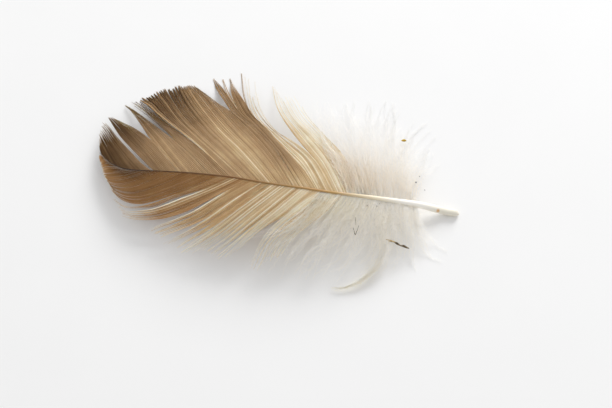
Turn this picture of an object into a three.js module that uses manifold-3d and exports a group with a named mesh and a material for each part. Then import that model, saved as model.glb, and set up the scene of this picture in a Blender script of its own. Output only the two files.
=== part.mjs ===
// A hen's body feather lying on a surface with its outer side up, and a scrap of chaff caught in its down.
// Millimetres, +Z up. +X runs along the shaft from the quill to the tip of the vane.
// The origin is the middle of the flat underside that the end of the quill rests on.
// Stations are measured along X from the quill's end.
import * as THREE from 'three';
import { mergeVertices } from 'three/addons/utils/BufferGeometryUtils.js';
import Module from 'manifold-3d';

const wasm = await Module();
wasm.setup();

// Driving dimensions
const SHAFT_LENGTH = 100;
const QUILL_REST = 3; // length of the quill's end that lies flat
const QUILL_ROUNDING = 0.9; // length over which the quill's end swells to its full thickness
const SHAFT_SIDES = 8;
const SHAFT_RINGS = 34;
const VANE_HALF_WIDTH = 26;
const EDGE_DROOP = 5.5; // how far a vane hangs below the shaft at that half width
const DROOP_POWER = 1.7;
const VANE_THICKNESS = 0.5;
const VANE_TIP_THICKNESS = 0.24;
const LOCK_RELIEF = 0.24; // a lock's middle stands this far above its edges
const LOCK_NOTCH = 0.93; // the share of a lock's length where it parts from the next one
const BARB_ROWS = 8;
const TUFT_ROWS = 7;
const TUFT_THICKNESS = 1.3;
const TUFT_TIP = 0.3; // width and thickness that a tuft of down tapers to
const TUFT_ROOT_SWELL = 0.12; // how far up its swelling a tuft starts
const TUFT_FULLNESS = 0.8; // below 1 a tuft is fuller than a sine wave
const CHAFF_THICKNESS = 0.5;
const CHAFF_GAP = 0.35;

// The shaft's centre line: station, sideways place, height
const SHAFT_LINE = [
  [0, 0, 0.9], [3, 0.05, 0.9], [6, 0.25, 1.75], [11, 0.6, 3.4], [18, 1.4, 5.0], [25, 2.2, 6.3],
  [34, 3.2, 7.6], [43, 3.8, 8.4], [52, 4.2, 8.7], [62, 4.2, 8.6], [72, 4.5, 7.8], [82, 5.1, 6.6],
  [88, 5.5, 5.7], [92, 5.3, 4.9], [96, 3.9, 4.1], [100, 1, 3.2],
];

// The shaft's thickness: station, diameter
const SHAFT_DIAMETER = [
  [0, 1.2], [0.9, 1.72], [3, 1.8], [11, 1.8], [16, 1.5], [25, 1.06], [35, 0.8], [57, 0.66], [78, 0.58],
  [100, 0.5],
];

// The vane on the -Y side, from the tip to the base, in sections between the places where it has parted.
// A guide is one barb: its root's station on the shaft, then the places it passes, ending at its tip.
const UPPER_VANE = [
  {
    locks: 3,
    guides: [
      [98.9, [99.9, 0.2], [100.6, -1.2]],
      [94.5, [98.4, -0.2], [101.7, -4.4]],
      [84.4, [92.3, -1.4], [98.2, -6.3], [101.6, -8.9]],
    ],
  },
  {
    locks: 3,
    guides: [
      [83.4, [92.2, -2.1], [97, -6.5], [100.3, -10.6]],
      [81, [88.8, -2.4], [96.8, -10]],
      [76.5, [83, -1.7], [90.8, -7.3]],
    ],
  },
  {
    locks: 3,
    guides: [
      [76.8, [84, -3], [88.5, -6.8], [95.6, -13.8]],
      [72.4, [83.6, -6], [96.5, -15.1]],
      [67.9, [74.8, -1.4], [81.8, -6.2], [88.6, -10.8], [95.7, -15.3]],
    ],
  },
  {
    locks: 2,
    guides: [
      [68.1, [75, -2.4], [82, -8], [89.2, -13], [94.9, -16.4]],
      [65, [72.6, -2.4], [80.3, -8.2], [94, -17.6]],
      [62.3, [70, -1], [77.2, -6], [84, -11.3], [91.8, -18]],
    ],
  },
  {
    locks: 9,
    guides: [
      [62.1, [72, -2.5], [79, -8.2], [86, -14], [92.9, -18.9]],
      [58.5, [71.3, -5], [77.5, -10], [88.4, -22.2]],
      [55, [66.5, -5], [72.7, -10], [80.3, -18], [84.3, -24.4]],
      [51.5, [61.8, -5], [68, -10], [75.5, -18], [80.3, -25.4]],
      [48, [57, -5], [62.8, -10], [70.8, -18], [75.6, -24]],
      [44.6, [52.8, -5], [58, -10], [63.5, -15], [67.2, -18.6]],
    ],
  },
  {
    locks: 1,
    guides: [
      [44.8, [52.2, -5.3], [57.8, -10.6], [66.4, -17.7], [72.2, -25.6], [74.6, -28.9]],
      [43, [50.7, -5.2], [56, -10.5], [64.2, -17.8], [70.7, -25.6], [74.2, -29.2]],
    ],
  },
  {
    locks: 1,
    guides: [
      [43.2, [50.5, -5.6], [55.6, -10.8], [62.9, -17.6], [67.4, -23.8], [70, -28.9]],
      [41, [48.2, -5.3], [53.4, -10.5], [60.9, -18], [65.3, -24], [69.6, -29.2]],
    ],
  },
  {
    locks: 1,
    guides: [
      [41.3, [48, -5.7], [53.1, -10.9], [60.8, -18.4], [64, -23], [67.3, -32.3]],
      [39, [46.2, -5.3], [51, -9.8], [58.4, -15.6], [62.5, -21.6], [66.9, -32.5]],
    ],
  },
  {
    locks: 2,
    guides: [
      [39.2, [45.8, -5.3], [50.6, -10], [57.6, -16], [61.6, -22.4], [64.2, -29.6]],
      [37, [43.5, -5], [49.5, -10.2], [56.6, -16.6], [60.6, -23.4], [62.3, -28]],
      [33.6, [40.2, -4.8], [46, -8.2], [53.1, -12.6], [58.2, -18.2], [60.4, -23.4]],
    ],
  },
  {
    locks: 3,
    guides: [
      [33.3, [39.6, -5.6], [44, -10.9], [50.3, -16.8], [55.3, -23.2], [58, -30.6]],
      [31, [37.6, -7], [43.5, -12.9], [50, -18.9], [54.2, -25.4]],
      [27.4, [33.4, -8.4], [40, -14.6], [46, -20.4], [49.4, -25.6]],
    ],
  },
];

// The vane on the +Y side, in the same way
const LOWER_VANE = [
  {
    locks: 5,
    guides: [
      [98.4, [99.5, 1.9], [99.7, 2.6]],
      [93.5, [96.6, 4.9], [98.1, 5.6]],
      [87, [92, 7.4], [96.4, 8.6]],
      [80.5, [86, 8.4], [91.2, 10.4], [95.1, 10.5]],
      [72.8, [79.3, 8.8], [86, 12.1], [92.7, 12.9]],
      [64.4, [70, 7.8], [77.8, 12.2], [84.2, 14.6], [90.6, 14.2]],
    ],
  },
  {
    locks: 1,
    guides: [
      [64.6, [70, 8.2], [77.7, 12.7], [84.2, 15.5], [91, 15.6]],
      [61.7, [68, 8.4], [75.5, 12.4], [81, 15.3], [90.2, 16.9]],
    ],
  },
  {
    locks: 2,
    guides: [
      [61.9, [67.9, 8.7], [75.3, 12.9], [81, 15.9], [88.8, 17.6]],
      [59.3, [65.7, 8.8], [73.5, 14], [80, 17.1], [89, 18.6]],
      [57.1, [63.4, 8.8], [70.8, 14.3], [77.2, 17.4], [83.5, 18.9], [87.8, 19.4]],
    ],
  },
  {
    locks: 2,
    guides: [
      [57.3, [63.2, 9.3], [69.8, 15], [74, 17.5], [80.6, 21.2]],
      [55, [61.4, 9.8], [68.4, 16.2], [73.5, 19.3], [79.1, 22.1]],
      [53.4, [60, 10.2], [67.2, 17], [77.2, 23]],
    ],
  },
  {
    locks: 1,
    guides: [
      [53.6, [60.1, 10.7], [66.4, 16.9], [75.5, 24]],
      [51.4, [58, 10.9], [64.6, 17.6], [74.9, 24.6]],
    ],
  },
  {
    locks: 8,
    guides: [
      [51.6, [58.2, 11.4], [64.9, 18.2], [72.3, 23.9]],
      [49.4, [56.4, 11.9], [63.1, 19.2], [69.9, 25.3]],
      [47, [54, 12.2], [60.6, 19.7], [66.8, 25.5]],
      [44.6, [51.3, 12.2], [57.8, 19.7], [63.2, 25]],
      [42.2, [48.5, 11.9], [55, 19.5], [59.9, 26]],
      [40, [45.7, 11], [52.5, 18.6], [57, 24.8]],
      [37.8, [41.7, 7.3], [46.3, 12.8], [51, 16.8], [55.3, 21.6]],
    ],
  },
  {
    locks: 3,
    guides: [
      [37.3, [40.8, 7.4], [44.1, 11.4], [47, 15.6], [49.3, 19.4]],
      [34.8, [38.4, 8.6], [42.2, 13.2], [48.4, 20.2]],
      [31.6, [35.4, 9.2], [39.6, 14], [45.8, 20.6]],
    ],
  },
];

// The tufts of down at the base: the greatest width, and the middle barb as a guide.
// Sag is the share of its height that a tuft's tip has sunk below the spread of the others.
const UPPER_DOWN = [
  { width: 4, barb: [27.8, [32, -6], [36.5, -14.5], [39.4, -22.5], [40.8, -27.5]] },
  { width: 4, barb: [25.8, [29.5, -7], [33.2, -16.5], [36, -25.5], [37.2, -29.8]] },
  { width: 4, barb: [23.8, [27, -8], [29.8, -18], [31.6, -26], [32, -29.6]] },
  { width: 4, barb: [21.6, [24.3, -8], [26.3, -19], [26.9, -27], [26.6, -31]] },
  { width: 4, barb: [19.4, [21.4, -8], [22.8, -19], [22.5, -28], [21.6, -32]] },
  { width: 4, barb: [17.2, [18.4, -8], [19, -18], [18.5, -26], [17.6, -30.2]] },
  { width: 3.4, barb: [15.2, [15.8, -7], [15.5, -15], [14.2, -22], [13, -26]] },
  { width: 3, barb: [13.4, [13.3, -6], [12, -13], [10.2, -18], [8.8, -21]] },
  { width: 2.6, barb: [11.8, [11, -5], [8.8, -10], [6.6, -13.5], [5, -15.6]] },
  { width: 2.2, barb: [10.6, [9, -3.6], [6.6, -6.8], [4, -9.2], [2.6, -10.2]] },
];
const LOWER_DOWN = [
  { width: 4.6, barb: [35, [39.6, 12], [45, 19.4], [49.5, 24.4], [52.6, 27.8]] },
  { width: 4.6, barb: [32.8, [37, 12], [41.6, 20], [45.8, 25], [48.3, 28]] },
  { width: 4.6, barb: [30.6, [34.2, 12], [37.8, 20], [41.2, 25], [42.9, 27.8]] },
  { width: 4.6, barb: [28.4, [31.4, 12], [34.4, 20], [37.2, 25.5], [38.2, 28.4]] },
  { width: 4.6, barb: [26, [28.4, 12], [31, 19], [33.8, 24.5], [35.4, 27.6]] },
  { width: 4.6, barb: [23.6, [25.4, 11.5], [27.6, 18], [29.8, 22.8], [31.8, 25.4]] },
  { width: 4.4, barb: [21.4, [22.2, 11], [23, 17], [25, 21.8], [28.6, 25]] },
  {
    width: 4.4,
    sag: 0.9,
    barb: [19.2, [19.2, 10], [18.6, 16], [19.8, 20.8], [23.2, 24.6], [27.4, 26.9], [31.3, 27.3]],
  },
  { width: 4, barb: [17, [16.4, 8], [15.4, 13], [15.2, 17], [16.2, 20.4]] },
  { width: 3.4, barb: [14.6, [13.6, 6], [12.2, 10], [11, 14], [9.4, 18.2]] },
  { width: 2.6, barb: [12.4, [11.5, 4.4], [10, 7.4], [7.4, 10.6], [2.6, 14.2]] },
];

// The scrap of chaff that lies on the down, from its broad end to its point: station, sideways place, width
const CHAFF = [[17, 12.7, 0.3], [15.8, 12.9, 0.8], [14.2, 13.2, 0.9], [13, 13.5, 0.6], [11.6, 13.7, 0.25]];

// A smooth value at a station, from rows that each start with a station
function along(rows, station, column) {
  const last = rows.length - 1;
  if (station <= rows[0][0]) return rows[0][column];
  if (station >= rows[last][0]) return rows[last][column];
  const i = rows.findIndex((row) => row[0] > station) - 1;
  const slope = (k) => {
    const before = rows[Math.max(k - 1, 0)];
    const after = rows[Math.min(k + 1, last)];
    return (after[column] - before[column]) / (after[0] - before[0]);
  };
  const span = rows[i + 1][0] - rows[i][0];
  const t = (station - rows[i][0]) / span;
  const rise = t * t * (3 - 2 * t);
  const bend = t * (1 - t) * span;
  const straight = THREE.MathUtils.lerp(rows[i][column], rows[i + 1][column], rise);
  return straight + bend * ((1 - t) * slope(i) - t * slope(i + 1));
}

const shaftSideways = (station) => along(SHAFT_LINE, station, 1);
const shaftHeight = (station) => along(SHAFT_LINE, station, 2);
const shaftRadius = (station) => along(SHAFT_DIAMETER, station, 1) / 2;

// The height of the vanes and the down over a place in the plan: they hang from the shaft to the surface
function layHeight(x, y, lowest) {
  const out = Math.abs(y - shaftSideways(x)) / VANE_HALF_WIDTH;
  return Math.max(lowest, shaftHeight(x) - EDGE_DROOP * out ** DROOP_POWER);
}

// One guide as a smooth curve in the plan
function barbCurve([root, ...places]) {
  const start = new THREE.Vector3(root, shaftSideways(root), 0);
  return new THREE.CatmullRomCurve3([start, ...places.map(([x, y]) => new THREE.Vector3(x, y, 0))]);
}

// A closed solid from corners and triangles, turned so that its faces point out
function solid(corners, triangles) {
  let volume = 0;
  for (const [a, b, c] of triangles) volume += corners[a].dot(corners[b].clone().cross(corners[c]));
  const faces = volume < 0 ? triangles.map(([a, b, c]) => [a, c, b]) : triangles;
  return new wasm.Manifold(
    new wasm.Mesh({
      numProp: 3,
      vertProperties: new Float32Array(corners.flatMap((corner) => corner.toArray())),
      triVerts: new Uint32Array(faces.flat()),
    }),
  );
}

// A solid through rings of corners, closed by a fan at each end
function loft(rings) {
  const sides = rings[0].length;
  const corners = rings.flat();
  const triangles = [];
  for (let r = 0; r + 1 < rings.length; r += 1) {
    for (let s = 0; s < sides; s += 1) {
      const a = r * sides + s;
      const b = r * sides + ((s + 1) % sides);
      triangles.push([a, b, b + sides], [a, b + sides, a + sides]);
    }
  }
  const end = (rings.length - 1) * sides;
  for (let s = 1; s + 1 < sides; s += 1) {
    triangles.push([0, s + 1, s], [end, end + s, end + s + 1]);
  }
  return solid(corners, triangles);
}

// The shaft: a faceted rod with a flat side down, level where it rests and then arched
function shaft() {
  const stations = [0, QUILL_ROUNDING, QUILL_REST];
  for (let i = 1; i <= SHAFT_RINGS; i += 1) {
    stations.push(THREE.MathUtils.lerp(QUILL_REST, SHAFT_LENGTH, i / SHAFT_RINGS));
  }
  const step = 0.5; // half the stretch that a ring's direction is taken over
  const rings = stations.map((station) => {
    const radius = shaftRadius(station);
    const resting = station <= QUILL_REST;
    const height = resting ? radius : shaftHeight(station);
    const centre = new THREE.Vector3(station, shaftSideways(station), height);
    const forward = new THREE.Vector3(
      2 * step,
      shaftSideways(station + step) - shaftSideways(station - step),
      resting ? 0 : shaftHeight(station + step) - shaftHeight(station - step),
    ).normalize();
    const side = new THREE.Vector3(-forward.y, forward.x, 0).normalize();
    const up = forward.clone().cross(side);
    const corner = radius / Math.cos(Math.PI / SHAFT_SIDES);
    return Array.from({ length: SHAFT_SIDES }, (_, k) => {
      const angle = ((k + 0.5) * 2 * Math.PI) / SHAFT_SIDES;
      return centre
        .clone()
        .addScaledVector(side, corner * Math.sin(angle))
        .addScaledVector(up, corner * Math.cos(angle));
    });
  });
  return loft(rings);
}

// One section of a vane: a pleated sheet whose locks are ridges that end in points along the rim
function vaneSection({ locks, guides }) {
  const curves = guides.map(barbCurve);
  const columns = 2 * locks + 1;
  const corners = [];
  for (let c = 0; c < columns; c += 1) {
    const across = (c / (columns - 1)) * (curves.length - 1);
    const left = Math.min(Math.floor(across), curves.length - 2);
    const isRidge = c % 2 === 1;
    const isRim = c === 0 || c === columns - 1;
    const length = isRidge || isRim ? 1 : LOCK_NOTCH;
    for (let r = 0; r <= BARB_ROWS; r += 1) {
      const t = (length * r) / BARB_ROWS;
      const place = curves[left].getPointAt(t).lerp(curves[left + 1].getPointAt(t), across - left);
      const thickness = THREE.MathUtils.lerp(VANE_THICKNESS, VANE_TIP_THICKNESS, t);
      const middle = layHeight(place.x, place.y, thickness / 2);
      const relief = isRidge ? LOCK_RELIEF * Math.sin(Math.PI * THREE.MathUtils.lerp(0.15, 0.85, t)) : 0;
      corners.push(new THREE.Vector3(place.x, place.y, middle - thickness / 2));
      corners.push(new THREE.Vector3(place.x, place.y, middle + thickness / 2 + relief));
    }
  }
  const under = (c, r) => 2 * (c * (BARB_ROWS + 1) + r);
  const over = (c, r) => under(c, r) + 1;
  const triangles = [];
  const quad = (a, b, c, d) => triangles.push([a, b, c], [a, c, d]);
  for (let c = 0; c + 1 < columns; c += 1) {
    for (let r = 0; r < BARB_ROWS; r += 1) {
      quad(over(c, r), over(c + 1, r), over(c + 1, r + 1), over(c, r + 1));
      quad(under(c, r), under(c, r + 1), under(c + 1, r + 1), under(c + 1, r));
    }
    quad(under(c, 0), under(c + 1, 0), over(c + 1, 0), over(c, 0));
    const r = BARB_ROWS;
    quad(over(c, r), over(c + 1, r), under(c + 1, r), under(c, r));
  }
  const last = columns - 1;
  for (let r = 0; r < BARB_ROWS; r += 1) {
    quad(under(0, r), over(0, r), over(0, r + 1), under(0, r + 1));
    quad(over(last, r), under(last, r), under(last, r + 1), over(last, r + 1));
  }
  return solid(corners, triangles);
}

// One tuft of down: a flat spindle along its middle barb
function downTuft({ width, barb, sag = 0 }) {
  const curve = barbCurve(barb);
  const rings = [];
  for (let r = 0; r <= TUFT_ROWS; r += 1) {
    const t = r / TUFT_ROWS;
    const place = curve.getPointAt(t);
    const forward = curve.getTangentAt(t);
    const swell = Math.sin(Math.PI * THREE.MathUtils.lerp(TUFT_ROOT_SWELL, 1, t)) ** TUFT_FULLNESS;
    const half = THREE.MathUtils.lerp(TUFT_TIP, width, swell) / 2;
    const thick = THREE.MathUtils.lerp(TUFT_TIP, TUFT_THICKNESS, swell) / 2;
    const middle = Math.max(thick, layHeight(place.x, place.y, thick) * (1 - sag * t * t));
    const left = new THREE.Vector3(place.x - forward.y * half, place.y + forward.x * half, middle);
    const right = new THREE.Vector3(place.x + forward.y * half, place.y - forward.x * half, middle);
    const top = new THREE.Vector3(place.x, place.y, middle + thick);
    const bottom = new THREE.Vector3(place.x, place.y, middle - thick);
    rings.push([left, top, right, bottom]);
  }
  return loft(rings);
}

// The chaff: a thin pointed scrap lying just clear of the down
function chaffScrap() {
  const rings = CHAFF.map(([x, y, width]) => {
    const low = layHeight(x, y, 0) + TUFT_THICKNESS / 2 + CHAFF_GAP;
    return [
      new THREE.Vector3(x, y - width / 2, low),
      new THREE.Vector3(x, y - width / 4, low + CHAFF_THICKNESS),
      new THREE.Vector3(x, y + width / 4, low + CHAFF_THICKNESS),
      new THREE.Vector3(x, y + width / 2, low),
    ];
  });
  return loft(rings);
}

// A named mesh of a finished solid
function part(name, body, color, roughness) {
  const { numProp, vertProperties, triVerts } = body.getMesh();
  const positions = new Float32Array((vertProperties.length / numProp) * 3);
  for (let v = 0; v < positions.length / 3; v += 1) {
    for (let k = 0; k < 3; k += 1) positions[3 * v + k] = vertProperties[numProp * v + k];
  }
  const geometry = new THREE.BufferGeometry();
  geometry.setAttribute('position', new THREE.BufferAttribute(positions, 3));
  geometry.setIndex(Array.from(triVerts));
  const material = new THREE.MeshStandardMaterial({ color, roughness, metalness: 0 });
  const mesh = new THREE.Mesh(mergeVertices(geometry), material);
  mesh.name = name;
  mesh.position.x = -QUILL_REST / 2;
  return mesh;
}

let grown = shaft();
for (const section of [...UPPER_VANE, ...LOWER_VANE]) grown = grown.add(vaneSection(section));
for (const tuft of [...UPPER_DOWN, ...LOWER_DOWN]) grown = grown.add(downTuft(tuft));

const feather = new THREE.Group();
feather.add(part('feather', grown, '#a98e6e', 0.8));
feather.add(part('chaff', chaffScrap(), '#4b3b29', 0.9));

export default feather;
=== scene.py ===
"""A hen's body feather lying on a pale floor, with its outer side up, and the dirt caught in its down.

Sizes are millimetres until a mesh is made. Stations are measured along X from the quill's end, and Y is
sideways.
"""
import math

import bpy
import numpy as np
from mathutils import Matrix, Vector


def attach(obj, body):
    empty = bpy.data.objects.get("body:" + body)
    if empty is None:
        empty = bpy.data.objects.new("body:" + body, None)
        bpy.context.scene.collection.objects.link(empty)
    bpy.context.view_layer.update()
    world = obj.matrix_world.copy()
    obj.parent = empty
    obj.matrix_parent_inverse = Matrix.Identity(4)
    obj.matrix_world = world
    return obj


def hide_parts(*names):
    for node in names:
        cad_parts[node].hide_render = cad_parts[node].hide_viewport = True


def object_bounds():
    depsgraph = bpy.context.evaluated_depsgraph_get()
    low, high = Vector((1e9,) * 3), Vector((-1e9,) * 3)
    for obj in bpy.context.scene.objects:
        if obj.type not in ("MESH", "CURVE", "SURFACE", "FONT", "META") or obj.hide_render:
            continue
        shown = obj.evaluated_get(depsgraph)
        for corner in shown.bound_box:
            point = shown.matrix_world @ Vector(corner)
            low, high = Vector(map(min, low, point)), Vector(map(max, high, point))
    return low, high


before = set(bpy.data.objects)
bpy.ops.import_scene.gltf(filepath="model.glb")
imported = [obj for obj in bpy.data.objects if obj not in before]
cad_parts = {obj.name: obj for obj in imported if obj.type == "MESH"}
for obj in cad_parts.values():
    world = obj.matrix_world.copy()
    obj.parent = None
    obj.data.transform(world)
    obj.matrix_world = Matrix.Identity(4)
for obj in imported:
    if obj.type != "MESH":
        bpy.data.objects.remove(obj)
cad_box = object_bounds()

bl_info = {
    "name": "Hen Feather",
    "version": (1, 0, 0),
    "blender": (4, 5, 0),
    "location": "View3D > Sidebar > Feather",
    "description": "Builds a hen's body feather barb by barb around its packed solids",
    "category": "Object",
}

MM = 0.001
BODY = "root"
QUILL_REST = 3.0  # length of the quill's end that lies flat; the origin is under its middle
QUILL_ROUNDING = 0.9
SHAFT_LENGTH = 100.0
VANE_HALF_WIDTH = 26.0
EDGE_DROOP = 5.5  # how far a vane hangs below the shaft at that half width
DROOP_POWER = 1.7

# The shaft's centre line: station, sideways place, height
SHAFT_LINE = [
    (0, 0, 0.9), (3, 0.05, 0.9), (6, 0.25, 1.75), (11, 0.6, 3.4), (18, 1.4, 5.0), (25, 2.2, 6.3),
    (34, 3.2, 7.6), (43, 3.8, 8.4), (52, 4.2, 8.7), (62, 4.2, 8.6), (72, 4.5, 7.8), (82, 5.1, 6.6),
    (88, 5.5, 5.7), (92, 5.3, 4.9), (96, 3.9, 4.1), (100, 1, 3.2),
]

# The shaft's thickness: station, diameter
SHAFT_DIAMETER = [
    (0, 1.2), (0.9, 1.72), (3, 1.8), (11, 1.8), (16, 1.5), (25, 1.06), (35, 0.76), (57, 0.52), (78, 0.36),
    (100, 0.16),
]

# How the barbs of a vane behave, where a section does not say otherwise:
# strand, the fewest and the most barbs that stay hooked side by side; part, how far along a barb its strand
# parts from the next; draw, how much of its width a strand loses by its tip; thin, how far along a barb
# starts to thin; ragged, the spread of lengths; bleach, how much paler the tip is; lift, the height over the
# vane's lay at the section's first and last barb; shade, the painted shade of a fold, put in the barbs'
# colour, at the first and last barb; rim, how much paler the first barb is; edge, how much paler the barb at
# a strand's edge may be; overlap, a barb's width as a share of the space it has.
UPPER_HABIT = {
    "strand": (8, 20), "part": 0.93, "draw": 0.02, "thin": 0.98, "ragged": 0.004, "bleach": 0,
    "lift": (0, 0), "shade": (0, 0), "rim": 0, "edge": 0.04, "overlap": 1.12,
}
LOWER_HABIT = {
    "strand": (2, 7), "part": 0.55, "draw": 0.42, "thin": 0.68, "ragged": 0.03, "bleach": 0.15,
    "lift": (0, 0), "shade": (0, 0), "rim": 0, "edge": 0.28, "overlap": 1.12,
}

# The vane on the -Y side, from the tip to the base, in sections between the places where it has parted.
# A guide is one barb: its root's station on the shaft, then the places it passes, ending at its tip.
UPPER_VANE = [
    {
        "strand": (2, 5), "part": 0.8, "draw": 0.25, "thin": 0.85, "ragged": 0.02, "bleach": 0.2,
        "guides": [
            (98.9, (99.9, 0.2), (100.6, -1.2)),
            (94.5, (98.4, -0.2), (101.3, -4.4)),
            (84.4, (87.8, 3.1), (92.2, -0.7), (96.7, -4.7), (99.5, -7.6), (101.1, -8.9)),
        ],
    },
    {
        "guides": [
            (83.3, (86.1, 3), (91, -1.1), (95.7, -5.3), (99.1, -9.1), (100.5, -10.7)),
            (81.1, (87, -0.8), (93.1, -6.4), (99.4, -10.9)),
            (76.8, (79.6, 1.9), (83.1, -1.6), (86.9, -4.6), (90.4, -7), (93.1, -8.5), (97.4, -10.2)),
        ],
    },
    {
        "guides": [
            (76.8, (80.3, 1.4), (83.6, -1.8), (87.5, -5.9), (91.2, -10.2), (95.3, -14.6), (97, -15.8)),
            (72.4, (78, -0.9), (83.9, -6.7), (89.7, -11.1), (96.7, -15.8)),
            (68, (74.8, -1.5), (79.8, -5), (85, -8.5), (90.3, -12.2), (94.5, -14.9), (96.7, -15.9)),
        ],
    },
    {
        "thin": 0.72, "ragged": 0.03, "part": 0.6, "draw": 0.4, "strand": (2, 5),
        "guides": [
            (68, (74.8, -1.6), (79.6, -5.1), (82.6, -7.7), (85.8, -10.1), (90.3, -13.5), (94.9, -16.6)),
            (65, (71.2, -1.1), (77.4, -5.8), (84.4, -10.4), (90.4, -15), (94, -17.4)),
            (62.3, (67.4, 0.3), (73.1, -3.9), (79.1, -8), (84, -11.4), (88.5, -15.4), (91.5, -17.9)),
        ],
    },
    {
        "rim": 0.3,
        "ragged": 0.006,
        "guides": [
            (62.1, (67.4, 0.1), (72.8, -4.1), (78.6, -8.2), (83.1, -11.3), (87.4, -14.6), (90.4, -17.2),
             (93.6, -18.8)),
            (58.5, (66.7, -1.8), (73.5, -6.9), (80.3, -12.6), (86, -19.3), (88.6, -22.4)),
            (55, (66.5, -5), (72.7, -10), (80.3, -18), (84.6, -24.4)),
            (51.5, (61.8, -5), (68, -10), (75.5, -18), (81.4, -25.6)),
            (48, (57, -5), (62.8, -10), (70.8, -18), (75, -22.6), (79.4, -25.9)),
        ],
    },
    {
        "ragged": 0.012,
        # Painted shade of the fold: from here on, the sections that give a shade darken their barbs' colour
        "shade": (0, 0.42),
        "guides": [
            (48, (57, -5), (62.8, -10), (70.8, -18), (75, -22.6), (79.4, -25.9)),
            (44.8, (52.2, -5.3), (57.6, -10.7), (62, -14.2), (66.5, -17.6), (70.4, -19.8), (73.8, -22.2),
             (77.5, -24.9)),
        ],
    },
    {
        "thin": 0.9,
        "shade": (0.42, 0.55),
        "guides": [
            (44.8, (52.2, -5.3), (57.6, -10.6), (61.9, -14), (66.3, -17.5), (70, -22.1), (73, -26.2),
             (74.6, -29.1)),
            (43.1, (50.5, -5.1), (55.9, -10.5), (60.2, -14), (64.7, -17.8), (69.8, -24.2), (72.1, -27.2),
             (74.3, -29.1)),
        ],
    },
    {
        "thin": 0.6,
        "guides": [
            (43.2, (50.6, -5.1), (56, -10.5), (60.3, -14), (64.2, -17.3), (66.6, -20.4), (69.1, -23.6),
             (72, -29.3)),
            (42.9, (50.2, -5.1), (55.7, -10.5), (60, -14), (63.8, -17.2), (66.1, -20.4), (68.7, -23.9),
             (71.8, -29.5)),
        ],
    },
    {
        "thin": 0.86,
        "lift": (0, 0.2),
        "shade": (0.55, 0.45),
        "guides": [
            (43.1, (50.5, -5.1), (55.8, -10.5), (60.2, -14), (63.9, -17.4), (66.2, -20.8), (68.3, -24.8),
             (70, -29.9)),
            (41, (48.7, -5.5), (54, -10.6), (58.2, -14.8), (61.2, -17.8), (64.1, -21.8), (66.5, -25.1),
             (69.8, -29.9)),
        ],
    },
    {
        "thin": 0.86,
        "lift": (0.2, 0.4),
        "shade": (0.4, 0.2),
        "guides": [
            (41, (48.7, -5.5), (54, -10.6), (58.2, -14.8), (61, -17.6), (63.2, -20.8), (65, -24.8),
             (67.1, -32.2)),
            (39, (43, -1.3), (47, -5), (52, -9.5), (55.6, -13), (60.8, -17.3), (62.5, -19.8),
             (64.5, -24.4), (67, -32.2)),
        ],
    },
    {
        "strand": (1, 3), "part": 0.5, "draw": 0.5, "thin": 0.5, "ragged": 0.07, "bleach": 0.1,
        "lift": (-0.5, -0.1),
        "guides": [
            (39, (44.4, -2.9), (48.4, -6.1), (52.7, -9.7), (56.4, -13.3), (59.4, -16), (61.8, -19.6),
             (65.5, -30.3)),
            (37.1, (43.4, -5), (48, -8.7), (52.5, -12.1), (56.8, -15.7), (59.9, -19.4), (61.9, -23.2),
             (63.1, -27.8)),
            (34.4, (40.3, -4.8), (44.5, -8.4), (49.1, -11.1), (52.9, -12.9), (56.6, -17), (59, -20.6),
             (60.9, -25.8)),
        ],
    },
    {
        "strand": (2, 5), "part": 0.4, "draw": 0.65, "thin": 0.45, "ragged": 0.06, "bleach": 0.1,
        "guides": [
            (34.2, (40.1, -5), (44.3, -9), (49.8, -14.8), (54.8, -21.8), (58, -30.6)),
            (31, (37.6, -7), (43.5, -12.9), (50, -18.9), (54.2, -25.4)),
            (27.4, (33.4, -8.4), (40, -14.6), (46, -20.4), (49.4, -25.6)),
        ],
    },
]

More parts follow.
